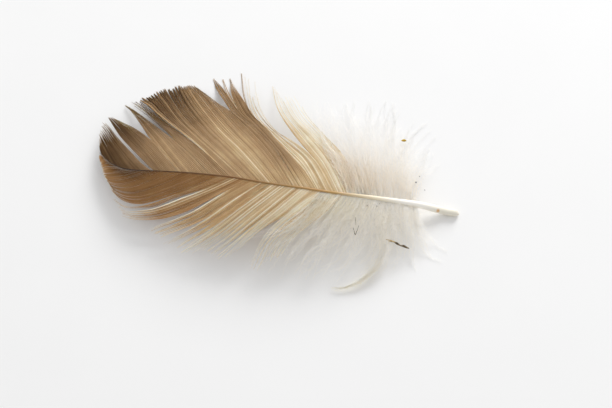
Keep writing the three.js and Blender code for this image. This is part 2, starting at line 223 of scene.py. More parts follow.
# The vane on the +Y side, in the same way
LOWER_VANE = [
    {
        "strand": (8, 18), "part": 0.9, "draw": 0.05, "thin": 0.92, "ragged": 0.01, "bleach": 0.15,
        "edge": 0.14,
        "guides": [
            (98.4, (99.5, 1.9), (99.7, 2.6)),
            (93.5, (96.6, 4.9), (98.1, 5.6)),
            (87, (92, 7.4), (96.9, 8)),
            (80.5, (86, 8.4), (91.2, 10.4), (94.4, 10.1), (95.9, 8.8)),
            (72.8, (79.3, 8.8), (86, 12.1), (89.8, 12.5), (93.2, 11.5), (95, 9.9)),
            (64.5, (70.2, 7.9), (77.6, 11.9), (82.2, 14), (85.1, 14.9), (88.2, 14.9), (90.9, 14),
             (93.3, 12.3)),
        ],
    },
    {
        "part": 0.7, "strand": (2, 4),
        "guides": [
            (64.5, (70.2, 8), (77.5, 12.3), (82, 14.7), (86.2, 16), (89.6, 16), (92.2, 14.7)),
            (61.7, (68, 8.3), (75.9, 12.3), (81.1, 15.3), (86.1, 16.4), (88.9, 16.5), (91, 15.6)),
        ],
    },
    {
        "part": 0.7, "rim": 0.35,
        "guides": [
            (61.7, (67.9, 8.6), (74, 12.1), (80.9, 15.8), (86, 17), (88.8, 17.2), (91.2, 16)),
            (59.3, (66, 9.2), (73.6, 14), (80.1, 17.2), (85.2, 18.2), (88.9, 17.9)),
            (57.1, (63.6, 9), (71, 14.6), (76.7, 17.6), (81.1, 18.9), (86, 19.5), (88.4, 19.1)),
        ],
    },
    {
        "rim": 0.4,
        "guides": [
            (57.2, (63.5, 9.5), (69.8, 15), (73.7, 17.4), (78.7, 20.1), (80.6, 21.3)),
            (55, (61.4, 9.8), (68.4, 16.2), (73.5, 19.3), (79.1, 22.1)),
            (53.4, (60, 10.2), (67.2, 17), (77.2, 23)),
        ],
    },
    {
        "strand": (3, 6), "rim": 0.3,
        "guides": [
            (53.6, (60.1, 10.7), (66.4, 16.9), (75.5, 24)),
            (51.4, (58, 10.9), (64.6, 17.6), (74.9, 24.6)),
        ],
    },
    {
        "strand": (2, 6), "part": 0.5, "draw": 0.5, "thin": 0.6, "ragged": 0.045, "bleach": 0.2,
        "guides": [
            (51.6, (58.2, 11.4), (64.9, 18.2), (72.3, 23.9)),
            (49.4, (56.4, 11.9), (63.1, 19.2), (69.9, 25.3)),
            (47, (54, 12.2), (60.6, 19.7), (66.8, 25.5)),
            (44.6, (51.3, 12.2), (57.8, 19.7), (63.2, 25)),
            (42.2, (48.5, 11.9), (55, 19.5), (59.9, 26)),
            (40, (45.7, 11), (52.5, 18.6), (57, 24.8)),
            (37.8, (41.7, 7.3), (46.3, 12.8), (51, 16.8), (55.3, 21.6)),
        ],
    },
    {
        "strand": (1, 4), "part": 0.3, "draw": 0.5, "thin": 0.3, "ragged": 0.07, "bleach": 0.1,
        "guides": [
            (37.5, (41.3, 7.3), (45.4, 12.1), (48.6, 15.9), (50.6, 19.3), (52, 23), (53, 27.5)),
            (34.8, (38.6, 8.8), (42.1, 13), (45.6, 17), (48, 20.5), (49.3, 24.8)),
            (31.6, (35.5, 9.2), (39.5, 14), (42.9, 18.3), (44.6, 22.2)),
        ],
    },
]

# The down at the base: barbs between which the others are spread like a fan
UPPER_DOWN = [
    (30.5, (35.4, -6), (41, -13.5), (45, -20.5), (47.5, -26.5)),
    (27.8, (32, -6), (36.5, -14.5), (39.4, -22.5), (40.8, -27.5)),
    (24.8, (28.2, -7.5), (31.6, -17), (33.8, -25.5), (34.6, -29.6)),
    (21.6, (24.3, -8), (26.3, -19), (26.9, -27), (26.6, -31)),
    (18.4, (20, -8), (21, -18.5), (20.4, -27), (19.4, -31)),
    (15.2, (15.8, -7), (15.5, -15), (14.2, -22), (13, -26)),
    (12.2, (11.6, -5.6), (9.8, -11), (7.8, -15.4), (6.4, -18)),
]
LOWER_DOWN = [
    (37.8, (42.8, 11.8), (48.8, 18), (53.4, 22.6), (56.6, 26)),
    (35, (39.6, 12), (44.6, 18.4), (48.6, 23), (51.4, 27)),
    (31.6, (35.4, 12), (39.6, 20), (43.4, 25), (45.8, 28)),
    (28.4, (31.4, 12), (34.4, 20), (37.2, 25.5), (38.2, 28.4)),
    (25, (27.4, 12), (30, 19), (32.6, 24), (34.4, 27.2)),
    (21.8, (22.8, 11), (24.2, 17), (26.4, 21.6), (29.6, 24.6)),
    (18.6, (18.4, 9.6), (18.2, 14.6), (19.4, 19), (22.4, 22.6)),
    (16, (15, 7.2), (13.9, 12), (13.4, 16), (13.6, 19.6)),
    (13.4, (12.2, 5.2), (10.6, 9), (8.4, 12.6), (5.6, 15.6)),
    (11.8, (10.6, 3.6), (8.8, 6), (6.6, 8.4), (4, 10.6)),
]
# A bundle of barbs that curls forward to the floor, as a guide, with its height at shares of its length
CURL = (
    19.2, (20, 8.6), (19.3, 12.1), (18.7, 15.7), (18.9, 18.7), (20.7, 21.9), (23.7, 25.1), (27.3, 27.2),
    (30.9, 27.7),
)
CURL_HEIGHTS = [(0, 5.2), (0.24, 4.7), (0.45, 3.3), (0.62, 2.1), (0.8, 1.2), (1, 0.8)]
CURL_WIDTH = 1.9
CURL_BARBS = 14
# Barbs that have strayed from the down, as guides
STRAYS = [
    (13.2, (12.4, 6), (11, 11), (10.4, 15), (9, 18.6)),
    (12.6, (11.4, 6), (9.8, 9.6), (8, 12.6), (5.4, 14), (2.7, 14.5)),
    (12, (10.6, 5), (8, 8), (5, 10), (1.6, 11.4)),
]

# Scraps on the down: what each is of, then its places, as station, sideways place and thickness
SCRAP_LIFT = 0.8  # how far a scrap lies over the down's lay
SCRAP_COLOURS = {
    "Dark chaff": ("#453a2b", "#8d7a5c"),
    "Straw": ("#a58a5c", "#d4bf93"),
    "Grit": ("#67676b", "#8c8c90"),
    "Seed skin": ("#b3922f", "#d6bb62"),
    "Dark hair": ("#4a4238", "#756a58"),
}
CHAFF = {
    "chaff_body": ("Dark chaff", [
        (11.8, 13.5, 0.2), (12.5, 13.45, 0.45), (13.4, 13.3, 0.65), (14.3, 13.35, 0.35), (15.2, 13.1, 0.6),
        (16, 12.9, 0.3),
    ]),
    "chaff_straw": ("Straw", [(15.6, 12.95, 0.3), (16.6, 12.8, 0.42), (17.4, 12.8, 0.24), (18.4, 12.8, 0.1)]),
    "chaff_fork": ("Straw", [(16.2, 12.9, 0.2), (17, 13.05, 0.2), (17.6, 13.25, 0.1)]),
}
DIRT = {
    "bent_hair": ("Dark hair", [
        (27.4, 11.9, 0.1), (26.9, 12.9, 0.14), (26.5, 13.6, 0.14), (26.2, 12.2, 0.13), (26, 11, 0.1),
    ]),
    "fine_hair": ("Dark hair", [(27.2, 8.9, 0.06), (27.1, 10, 0.08), (26.8, 11.1, 0.06)]),
    "seed_skin": ("Seed skin", [
        (17.7, -18.7, 0.25), (18.1, -18.6, 0.7), (18.6, -18.4, 0.6), (19, -18.3, 0.25),
    ]),
    "grit": ("Grit", [(12.8, -5.5, 0.2), (13, -5.5, 0.45), (13.25, -5.5, 0.2)]),
    "fine_grit_1": ("Grit", [(10.2, -3.9, 0.12), (10.35, -3.9, 0.25), (10.5, -3.9, 0.12)]),
    "fine_grit_2": ("Grit", [(12.2, -7.7, 0.1), (12.35, -7.7, 0.22), (12.5, -7.7, 0.1)]),
    "fibre_1": ("Dark hair", [(24.8, 4.8, 0.08), (24.8, 5.05, 0.14), (24.8, 5.3, 0.08)]),
    "fibre_2": ("Dark hair", [(21.7, 3.5, 0.07), (21.7, 3.7, 0.13), (21.7, 3.9, 0.07)]),
    "fibre_3": ("Dark hair", [(22.2, 4.3, 0.08), (22.2, 4.55, 0.14), (22.2, 4.8, 0.08)]),
}

# How pale a barb is, from 0, the darkest brown, to 1: its root's station, then at its root and at its tip
UPPER_PALENESS = [
    (28, 1, 1), (34, 0.88, 0.88), (41, 0.8, 0.64), (48, 0.73, 0.46), (55, 0.66, 0.22), (62, 0.59, 0.12),
    (68, 0.6, 0.1), (72, 0.56, 0), (77, 0.52, 0.1), (83, 0.4, 0), (90, 0.14, 0.06), (99, 0.04, 0.2),
]
LOWER_PALENESS = [
    (31, 0.95, 0.96), (38, 0.9, 0.91), (42, 0.82, 0.88), (47, 0.79, 0.82), (52, 0.69, 0.71), (57, 0.6, 0.56),
    (62, 0.57, 0.5), (65, 0.5, 0.46), (73, 0.43, 0.45), (80, 0.36, 0.5), (87, 0.14, 0.52), (93, 0.06, 0.48),
    (98, 0.14, 0.5),
]


def linear(hex_colour):
    """An sRGB hex colour as linear red, green and blue."""
    values = [int(hex_colour[i : i + 2], 16) / 255 for i in (1, 3, 5)]
    return tuple(v / 12.92 if v <= 0.04045 else ((v + 0.055) / 1.055) ** 2.4 for v in values)


def smoothstep(low, high, value):
    """0 below low, 1 above high and a smooth rise between."""
    t = np.clip((np.asarray(value, float) - low) / (high - low), 0, 1)
    return t * t * (3 - 2 * t)


def mix(a, b, share):
    """The value that is share of the way from a to b."""
    return a + (b - a) * share


def along(rows, station, column):
    """A smooth value at a station, or at each of many, from rows that each start with a station."""
    table = np.asarray(rows, float)
    knots, values = table[:, 0], table[:, column]
    last = len(knots) - 1
    before = np.maximum(np.arange(last + 1) - 1, 0)
    after = np.minimum(np.arange(last + 1) + 1, last)
    slopes = (values[after] - values[before]) / (knots[after] - knots[before])
    place = np.clip(station, knots[0], knots[-1])
    i = np.clip(np.searchsorted(knots, place, side="right") - 1, 0, last - 1)
    span = knots[i + 1] - knots[i]
    t = (place - knots[i]) / span
    bend = t * (1 - t) * span
    straight = mix(values[i], values[i + 1], t * t * (3 - 2 * t))
    return straight + bend * ((1 - t) * slopes[i] - t * slopes[i + 1])


def shaft_sideways(station):
    return along(SHAFT_LINE, station, 1)


def shaft_height(station):
    return along(SHAFT_LINE, station, 2)


def shaft_radius(station):
    return along(SHAFT_DIAMETER, station, 1) / 2


def lay_height(x, y):
    """The height of the vanes and the down over a place in the plan: they hang from the shaft."""
    out = np.abs(y - shaft_sideways(x)) / VANE_HALF_WIDTH
    return shaft_height(x) - EDGE_DROOP * out**DROOP_POWER


FINE_STEPS = 80  # a guide is first drawn with this many points, then measured


def barb_curve(guide, shares):
    """A guide as a smooth curve in the plan, at shares of its length."""
    root, *places = guide
    corners = np.array([(root, float(shaft_sideways(root))), *places], float)
    chord = np.concatenate([[0], np.cumsum(np.hypot(*np.diff(corners, axis=0).T))])
    rows = np.column_stack([chord, corners])
    fine = np.linspace(0, chord[-1], FINE_STEPS)
    line = np.column_stack([along(rows, fine, 1), along(rows, fine, 2)])
    length = np.concatenate([[0], np.cumsum(np.hypot(*np.diff(line, axis=0).T))])
    wanted = np.asarray(shares) * length[-1]
    # Past its end a barb runs straight on
    past = np.maximum(wanted - length[-1], 0)[:, None]
    ahead = (line[-1] - line[-2]) / np.linalg.norm(line[-1] - line[-2])
    inside = np.column_stack([np.interp(wanted, length, line[:, k]) for k in (0, 1)])
    return inside + past * ahead


def plan_normals(line):
    """Unit vectors square to a line in the plan, one for each of its points."""
    ahead = np.gradient(line, axis=0)
    ahead /= np.maximum(np.linalg.norm(ahead, axis=1, keepdims=True), 1e-9)
    return np.column_stack([-ahead[:, 1], ahead[:, 0]])


def in_part_frame(points):
    """Station millimetres as metres from the part's origin."""
    return (np.asarray(points, float) - (QUILL_REST / 2, 0, 0)) * MM


class Barbs:
    """Barbs gathered as rows of points, each point with its values, for one mesh of edges."""

    VALUES = ("half_width", "roll", "reach", "row", "paleness", "run", "barbule_length")

    def __init__(self):
        self.lines = []
        self.values = {name: [] for name in self.VALUES}

    def add(self, line, **values):
        """Adds a barb: its points, and its values, each one number or one for each point."""
        self.lines.append(np.asarray(line, float))
        values["row"] = len(self.lines) - 1
        values["run"] = np.linspace(0, 1, len(line)) * np.linalg.norm(np.diff(line, axis=0), axis=1).sum()
        for name in self.VALUES:
            self.values[name].append(np.broadcast_to(np.asarray(values[name], float), len(line)))

    def object(self, name):
        """The barbs as an object of edges in the part's frame."""
        points = in_part_frame(np.concatenate(self.lines))
        edges, start = [], 0
        for line in self.lines:
            edges += [(i, i + 1) for i in range(start, start + len(line) - 1)]
            start += len(line)
        mesh = bpy.data.meshes.new(name)
        mesh.from_pydata(points.tolist(), edges, [])
        for value_name in self.VALUES:
            scale = MM if value_name in ("half_width", "barbule_length") else 1
            values = np.concatenate(self.values[value_name]) * scale
            attribute = mesh.attributes.new(value_name, "FLOAT", "POINT")
            attribute.data.foreach_set("value", values.astype(np.float32))
        return linked(name, mesh)


def linked(name, mesh):
    """A new object in the scene."""
    made = bpy.data.objects.new(name, mesh)
    bpy.context.scene.collection.objects.link(made)
    return made


def socket(sockets, key):
    """A socket by its number, or the one in use of those with that name.

    Some nodes hold one socket of a name for each kind of value.
    """
    return sockets[key] if isinstance(key, int) else next(s for s in sockets if s.name == key and s.enabled)


def add_node(tree, kind, links=None, **settings):
    """Adds a node with its settings. links gives inputs a value, or an output to link to."""
    node = tree.nodes.new(kind)
    for name, value in settings.items():
        setattr(node, name, value)
    for key, value in (links or {}).items():
        if isinstance(value, bpy.types.NodeSocket):
            tree.links.new(value, socket(node.inputs, key))
        else:
            socket(node.inputs, key).default_value = value
    return node


def new_material(name):
    """An empty material, its tree and its output."""
    material = bpy.data.materials.new(name)
    material.use_nodes = True
    material.node_tree.nodes.clear()
    return material, material.node_tree, add_node(material.node_tree, "ShaderNodeOutputMaterial")


def set_stops(ramp, stops):
    """Gives a colour ramp its (place, linear colour) stops."""
    elements = ramp.color_ramp.elements
    elements[0].position, elements[1].position = stops[0][0], stops[-1][0]
    for place, _ in stops[1:-1]:
        elements.new(place)
    for element, (_, stop_colour) in zip(elements, stops):
        element.color = (*stop_colour, 1)


KERATIN_IOR = 1.54
BARBULE_STRIPE = 0.5  # real barbules stand 0.03 mm apart; drawn coarser, so that the weave shows
WEAVE_DEPTH = 0.03
RIDGE_ACROSS = 5 / 12  # where a barb's ridge lies in its section
RIDGE_FADE = (0.1, 0.3)  # how far from the ridge, round the section, the painted highlight starts to give way to painted shade, and has given way
RIDGE_PAINTED_LIGHT = (0.07, -0.05)  # how much paler a barb is on its ridge, as a painted highlight, and how much paler (less than 0, so darker) away from it, as painted shade where it meets its neighbours
BLOTCHES_PER_METRE = 260.0  # blotches of pigment 3 to 4 mm wide
BLOTCH_TONE = 0.2  # how far blotches make a barb paler or darker


def vane_keratin(name, stops):
    """Pigmented keratin of hooked barbs: matt, thin enough to let light through, with a painted highlight on
    its ridges and painted shade towards its edges.
    """
    material, tree, output = new_material(name)
    paleness, run, across = [
        add_node(tree, "ShaderNodeAttribute", attribute_name=key).outputs["Fac"]
        for key in ("paleness", "run", "across")
    ]
    coordinates = add_node(tree, "ShaderNodeTexCoord")
    blotches = add_node(
        tree,
        "ShaderNodeTexNoise",
        {"Vector": coordinates.outputs["Object"], "Scale": BLOTCHES_PER_METRE, "Detail": 3.0},
    )
    # Painted highlight along each barb's ridge and painted shade towards its edges, where it meets the next
    # barb
    off_ridge = add_node(tree, "ShaderNodeMath", {0: across, 1: RIDGE_ACROSS}, operation="SUBTRACT")
    from_ridge = add_node(tree, "ShaderNodeMath", {0: off_ridge.outputs[0]}, operation="ABSOLUTE")
    ridge = add_node(
        tree,
        "ShaderNodeMapRange",
        {
            "Value": from_ridge.outputs[0],
            "From Min": RIDGE_FADE[0],
            "From Max": RIDGE_FADE[1],
            "To Min": RIDGE_PAINTED_LIGHT[0],
            "To Max": RIDGE_PAINTED_LIGHT[1],
        },
    )
    toned = add_node(tree, "ShaderNodeMath", {0: paleness, 1: ridge.outputs["Result"]}, operation="ADD")
    centred = add_node(tree, "ShaderNodeMath", {0: blotches.outputs["Fac"], 1: 0.5}, operation="SUBTRACT")
    varied = add_node(
        tree,
        "ShaderNodeMath",
        {0: centred.outputs[0], 1: BLOTCH_TONE, 2: toned.outputs[0]},
        operation="MULTIPLY_ADD",
    )
    colour = add_node(tree, "ShaderNodeValToRGB", {"Fac": varied.outputs[0]})
    set_stops(colour, stops)
    turns = add_node(tree, "ShaderNodeMath", {0: run, 1: 2 * math.pi / BARBULE_STRIPE}, operation="MULTIPLY")
    weave = add_node(tree, "ShaderNodeMath", {0: turns.outputs[0]}, operation="SINE")
    relief = add_node(
        tree, "ShaderNodeBump", {"Strength": 0.35, "Distance": WEAVE_DEPTH * MM, "Height": weave.outputs[0]}
    )
    shader = add_node(
        tree,
        "ShaderNodeBsdfPrincipled",
        {
            "Base Color": colour.outputs["Color"],
            "Roughness": 0.6,
            "IOR": KERATIN_IOR,
            "Specular IOR Level": 0.06,
            "Subsurface Weight": 0.8,
            "Subsurface Radius": (1.0, 0.8, 0.6),
            "Subsurface Scale": 0.06 * MM,
            "Normal": relief.outputs["Normal"],
        },
    )
    tree.links.new(shader.outputs["BSDF"], output.inputs["Surface"])
    return material


DOWN_STOPS = (0.06, 0.36, 0.75)  # the shares of the way out where the down's three colours stand


def down_keratin(name, colours, stained_colour):
    """Keratin of down without pigment: soft threads, creamier near the shaft and where they are stained."""
    material, tree, output = new_material(name)
    reach, paleness = [
        add_node(tree, "ShaderNodeAttribute", attribute_name=key).outputs["Fac"]
        for key in ("reach", "paleness")
    ]
    colour = add_node(tree, "ShaderNodeValToRGB", {"Fac": reach})
    set_stops(colour, list(zip(DOWN_STOPS, colours)))
    stained = add_node(
        tree,
        "ShaderNodeMix",
        {"Factor": paleness, "A": (*stained_colour, 1), "B": colour.outputs["Color"]},
        data_type="RGBA",
    )
    shader = add_node(
        tree,
        "ShaderNodeBsdfPrincipled",
        {
            "Base Color": socket(stained.outputs, "Result"),
            "Roughness": 0.6,
            "IOR": KERATIN_IOR,
            "Specular IOR Level": 0.5,
            "Subsurface Weight": 1.0,
            "Subsurface Radius": (1.0, 0.9, 0.8),
            "Subsurface Scale": 0.3 * MM,
        },
    )
    tree.links.new(shader.outputs["BSDF"], output.inputs["Surface"])
    return material


STAIN_PLACE = (5.9, 0.85, 2.3)  # in station millimetres
STAIN_RADIUS = 0.42
STAIN_STRENGTH = 0.85
STREAKS_PER_METRE = (120.0, 3000.0, 3000.0)  # growth streaks run along the horn, 8 mm long and 0.3 mm wide
STREAK_DEPTH = 0.03
STREAK_TINT = 0.12


def shaft_keratin(name, stops, stain_colour):
    """Solid keratin of the quill and shaft: horn with a polish, ivory at the quill and brown at the tip."""
    material, tree, output = new_material(name)
    coordinates = add_node(tree, "ShaderNodeTexCoord")
    axes = add_node(tree, "ShaderNodeSeparateXYZ", {"Vector": coordinates.outputs["Object"]})
    reach = add_node(
        tree, "ShaderNodeMath", {0: axes.outputs["X"], 1: 1 / (SHAFT_LENGTH * MM)}, operation="MULTIPLY"
    )
    colour = add_node(tree, "ShaderNodeValToRGB", {"Fac": reach.outputs[0]})
    set_stops(colour, stops)
    stretched = add_node(
        tree, "ShaderNodeMapping", {"Vector": coordinates.outputs["Object"], "Scale": STREAKS_PER_METRE}
    )
    streaks = add_node(
        tree, "ShaderNodeTexNoise", {"Vector": stretched.outputs[0], "Scale": 1.0, "Detail": 2.0}
    )
    relief = add_node(
        tree,
        "ShaderNodeBump",
        {"Strength": 0.2, "Distance": STREAK_DEPTH * MM, "Height": streaks.outputs["Fac"]},
    )
    tinted = add_node(
        tree,
        "ShaderNodeMix",
        {"Factor": STREAK_TINT, "A": colour.outputs["Color"], "B": streaks.outputs["Color"]},
        data_type="RGBA",
        blend_type="OVERLAY",
    )
    # A rusty stain on the quill's side, with a soft edge
    place = tuple(float(v) for v in in_part_frame(STAIN_PLACE))
    away = add_node(
        tree, "ShaderNodeVectorMath", {0: coordinates.outputs["Object"], 1: place}, operation="DISTANCE"
    )
    stain = add_node(
        tree,
        "ShaderNodeMapRange",
        {
            "Value": away.outputs["Value"],
            "From Min": 0.5 * STAIN_RADIUS * MM,
            "From Max": 1.5 * STAIN_RADIUS * MM,
            "To Min": STAIN_STRENGTH,
            "To Max": 0.0,
        },
    )
    stained = add_node(
        tree,
        "ShaderNodeMix",
        {"Factor": stain.outputs["Result"], "A": socket(tinted.outputs, "Result"), "B": (*stain_colour, 1)},
        data_type="RGBA",
    )
    shader = add_node(
        tree,
        "ShaderNodeBsdfPrincipled",
        {
            "Base Color": socket(stained.outputs, "Result"),
            "Roughness": 0.45,
            "IOR": KERATIN_IOR,
            "Specular IOR Level": 0.35,
            "Normal": relief.outputs["Normal"],
        },
    )
    tree.links.new(shader.outputs["BSDF"], output.inputs["Surface"])
    return material


FLECKS_PER_METRE = 900.0  # flecks about 1 mm long
FLECK_STOPS = (0.4, 0.66)
FLECK_DEPTH = 0.05


def plant_scrap(name, dark_colour, pale_colour):
    """Dry plant matter: fibrous and dull, with darker and paler flecks."""
    material, tree, output = new_material(name)
    coordinates = add_node(tree, "ShaderNodeTexCoord")
    fibres = add_node(
        tree,
        "ShaderNodeTexNoise",
        {"Vector": coordinates.outputs["Object"], "Scale": FLECKS_PER_METRE, "Detail": 4.0},
    )
    colour = add_node(tree, "ShaderNodeValToRGB", {"Fac": fibres.outputs["Fac"]})
    set_stops(colour, list(zip(FLECK_STOPS, (dark_colour, pale_colour))))
    relief = add_node(
        tree,
        "ShaderNodeBump",
        {"Strength": 0.6, "Distance": FLECK_DEPTH * MM, "Height": fibres.outputs["Fac"]},
    )
    shader = add_node(
        tree,
        "ShaderNodeBsdfPrincipled",
        {
            "Base Color": colour.outputs["Color"],
            "Roughness": 0.85,
            "Specular IOR Level": 0.2,
            "Normal": relief.outputs["Normal"],
        },
    )
    tree.links.new(shader.outputs["BSDF"], output.inputs["Surface"])
    return material


MOTTLE_PER_METRE = 40.0  # mottle about 25 mm wide
MOTTLE_STOPS = (0.3, 0.7)
MOTTLE_DARKEST = 0.99


def pale_card(name, card_colour):
    """White matt card: almost no gloss and a very faint mottle."""
    material, tree, output = new_material(name)
    coordinates = add_node(tree, "ShaderNodeTexCoord")
    mottle = add_node(
        tree, "ShaderNodeTexNoise", {"Vector": coordinates.outputs["Object"], "Scale": MOTTLE_PER_METRE}
    )
    darker = tuple(MOTTLE_DARKEST * c for c in card_colour)
    tint = add_node(tree, "ShaderNodeValToRGB", {"Fac": mottle.outputs["Fac"]})
    set_stops(tint, list(zip(MOTTLE_STOPS, (darker, card_colour))))
    shader = add_node(
        tree, "ShaderNodeBsdfPrincipled", {"Base Color": tint.outputs["Color"], "Roughness": 0.9}
    )
    tree.links.new(shader.outputs["BSDF"], output.inputs["Surface"])
    return material


BARB_TREE = "Barbs with barbules"
SEED_STEP = 100.0
SHORTEST_BARBULE = 0.02  # shorter ones are left out
BARBULE_LENGTHS = (0.45, 1.15)  # the shortest and the longest barbule as shares of the length given


def barb_tree():
    """The node tree that gives each line of a mesh a barb's body, and barbules of the length it says."""
    tree = bpy.data.node_groups.new(BARB_TREE, "GeometryNodeTree")
    sockets = [
        ("Barb lines", "NodeSocketGeometry"),
        ("Barb section", "NodeSocketObject"),
        ("Barbule", "NodeSocketObject"),
        ("Barbule spacing", "NodeSocketFloat"),
        ("Barbule thickness", "NodeSocketFloat"),
        ("Lean", "NodeSocketFloat"),
        ("Stand", "NodeSocketFloat"),
        ("Seed", "NodeSocketInt"),
        ("Keratin", "NodeSocketMaterial"),
    ]
    for name, kind in sockets:
        tree.interface.new_socket(name, in_out="INPUT", socket_type=kind)
    tree.interface.new_socket("Barbs", in_out="OUTPUT", socket_type="NodeSocketGeometry")
    given = add_node(tree, "NodeGroupInput").outputs
    # Each random choice has its own seed, or the choices would go together
    side_seed, lift_seed, turn_seed, length_seed = [
        add_node(tree, "ShaderNodeMath", {0: given["Seed"], 1: SEED_STEP * step}, operation="ADD").outputs[0]
        for step in (1, 2, 3, 4)
    ]

    lines = add_node(tree, "GeometryNodeMeshToCurve", {"Mesh": given["Barb lines"]})
    level = add_node(tree, "GeometryNodeSetCurveNormal", {"Curve": lines.outputs[0]}, mode="Z_UP")
    roll = add_node(tree, "GeometryNodeInputNamedAttribute", {"Name": "roll"}, data_type="FLOAT")
    banked = add_node(
        tree, "GeometryNodeSetCurveTilt", {"Curve": level.outputs[0], "Tilt": roll.outputs["Attribute"]}
    )
    section = add_node(tree, "GeometryNodeObjectInfo", {"Object": given["Barb section"]})
    outline = add_node(tree, "GeometryNodeMeshToCurve", {"Mesh": section.outputs["Geometry"]})
    half_width = add_node(tree, "GeometryNodeInputNamedAttribute", {"Name": "half_width"}, data_type="FLOAT")
    bodies = add_node(
        tree,
        "GeometryNodeCurveToMesh",
        {
            "Curve": banked.outputs[0],
            "Profile Curve": outline.outputs[0],
            "Scale": half_width.outputs["Attribute"],
            "Fill Caps": True,
        },
    )

    # Barbules lean forward from both sides of the barb, and some stand up or hang down
    points = add_node(
        tree,
        "GeometryNodeCurveToPoints",
        {"Curve": banked.outputs[0], "Length": given["Barbule spacing"]},
        mode="LENGTH",
    )
    length = add_node(
        tree, "GeometryNodeInputNamedAttribute", {"Name": "barbule_length"}, data_type="FLOAT"
    ).outputs["Attribute"]
    bare = add_node(
        tree,
        "FunctionNodeCompare",
        {"A": length, "B": SHORTEST_BARBULE * MM},
        data_type="FLOAT",
        operation="LESS_THAN",
    )
    fringed = add_node(
        tree,
        "GeometryNodeDeleteGeometry",
        {"Geometry": points.outputs["Points"], "Selection": bare.outputs[0]},
        domain="POINT",
    )
    ahead = points.outputs["Tangent"]
    across = add_node(tree, "ShaderNodeVectorMath", {0: ahead, 1: (0.0, 0.0, 1.0)}, operation="CROSS_PRODUCT")
    leftward = add_node(
        tree, "ShaderNodeVectorMath", {0: across.outputs[0]}, operation="NORMALIZE"
    )
    side = add_node(
        tree,
        "FunctionNodeRandomValue",
        {"Probability": 0.5, "Seed": side_seed},
        data_type="BOOLEAN",
    )
    signed = add_node(
        tree, "ShaderNodeMath", {0: socket(side.outputs, "Value"), 1: 2.0, 2: -1.0}, operation="MULTIPLY_ADD"
    )
    sideways = add_node(
        tree, "ShaderNodeVectorMath", {0: leftward.outputs[0], "Scale": signed.outputs[0]}, operation="SCALE"
    )
    lean = add_node(
        tree,
        "ShaderNodeVectorMath",
        {0: ahead, "Scale": given["Lean"]},
        operation="SCALE",
    )
    flat = add_node(
        tree, "ShaderNodeVectorMath", {0: lean.outputs[0], 1: sideways.outputs[0]}, operation="ADD"
    )
    downmost = add_node(tree, "ShaderNodeMath", {0: given["Stand"], 1: -1.0}, operation="MULTIPLY")
    lift = add_node(
        tree,
        "FunctionNodeRandomValue",
        {"Min": downmost.outputs[0], "Max": given["Stand"], "Seed": lift_seed},
        data_type="FLOAT",
    )
    upward = add_node(tree, "ShaderNodeCombineXYZ", {"Z": socket(lift.outputs, "Value")})
    direction = add_node(
        tree, "ShaderNodeVectorMath", {0: flat.outputs[0], 1: upward.outputs[0]}, operation="ADD"
    )
    aimed = add_node(
        tree, "FunctionNodeAlignRotationToVector", {"Vector": direction.outputs[0]}, axis="Z"
    )
    turn = add_node(
        tree, "FunctionNodeRandomValue", {"Max": 2 * math.pi, "Seed": turn_seed}, data_type="FLOAT"
    )
    spin = add_node(
        tree,
        "FunctionNodeAxisAngleToRotation",
        {"Axis": (0.0, 0.0, 1.0), "Angle": socket(turn.outputs, "Value")},
    )
    turned = add_node(
        tree,
        "FunctionNodeRotateRotation",
        {"Rotation": aimed.outputs[0], "Rotate By": spin.outputs[0]},
        rotation_space="LOCAL",
    )
    longer = add_node(
        tree,
        "FunctionNodeRandomValue",
        {"Min": BARBULE_LENGTHS[0], "Max": BARBULE_LENGTHS[1], "Seed": length_seed},
        data_type="FLOAT",
    )
    own_length = add_node(
        tree, "ShaderNodeMath", {0: length, 1: socket(longer.outputs, "Value")}, operation="MULTIPLY"
    )
    thread = given["Barbule thickness"]
    size = add_node(tree, "ShaderNodeCombineXYZ", {"X": thread, "Y": thread, "Z": own_length.outputs[0]})
    barbule = add_node(tree, "GeometryNodeObjectInfo", {"Object": given["Barbule"]})
    planted = add_node(
        tree,
        "GeometryNodeInstanceOnPoints",
        {
            "Points": fringed.outputs[0],
            "Instance": barbule.outputs["Geometry"],
            "Rotation": turned.outputs[0],
            "Scale": size.outputs[0],
        },
    )
    both = add_node(tree, "GeometryNodeJoinGeometry")
    tree.links.new(planted.outputs[0], both.inputs[0])
    tree.links.new(bodies.outputs[0], both.inputs[0])
    real = add_node(tree, "GeometryNodeRealizeInstances", {"Geometry": both.outputs[0]})
    finished = add_node(
        tree, "GeometryNodeSetMaterial", {"Geometry": real.outputs[0], "Material": given["Keratin"]}
    )
    add_node(tree, "NodeGroupOutput", {"Barbs": finished.outputs[0]})
    return tree


def section_object(name, corners):
    """A barb's cross-section as a ring of edges, with each corner's share of the way round."""
    mesh = bpy.data.meshes.new(name)
    count = len(corners)
    mesh.from_pydata([(x, y, 0) for x, y in corners], [(i, (i + 1) % count) for i in range(count)], [])
    give_map_values(mesh, [i / (count - 1) for i in range(count)], [0.0] * count)
    return linked(name, mesh)


def barbule_object(name):
    """One barbule, 1 long and 1 thick: a bent three-sided spindle with a point at each end."""
    belly, bend = 0.4, 0.5
    corners = [(0, 0, 0)]
    for i in range(3):
        angle = 2 * math.pi * i / 3
        corners.append((bend + 0.5 * math.cos(angle), 0.5 * math.sin(angle), belly))
    corners.append((0, 0, 1))
    mesh = bpy.data.meshes.new(name)
    faces = [(0, 1 + (i + 1) % 3, 1 + i) for i in range(3)] + [(4, 1 + i, 1 + (i + 1) % 3) for i in range(3)]
    mesh.from_pydata(corners, [], faces)
    give_map_values(mesh, [0, 0.3, 0.5, 0.7, 1], [0, -0.006, 0, 0.006, 0])
    return linked(name, mesh)


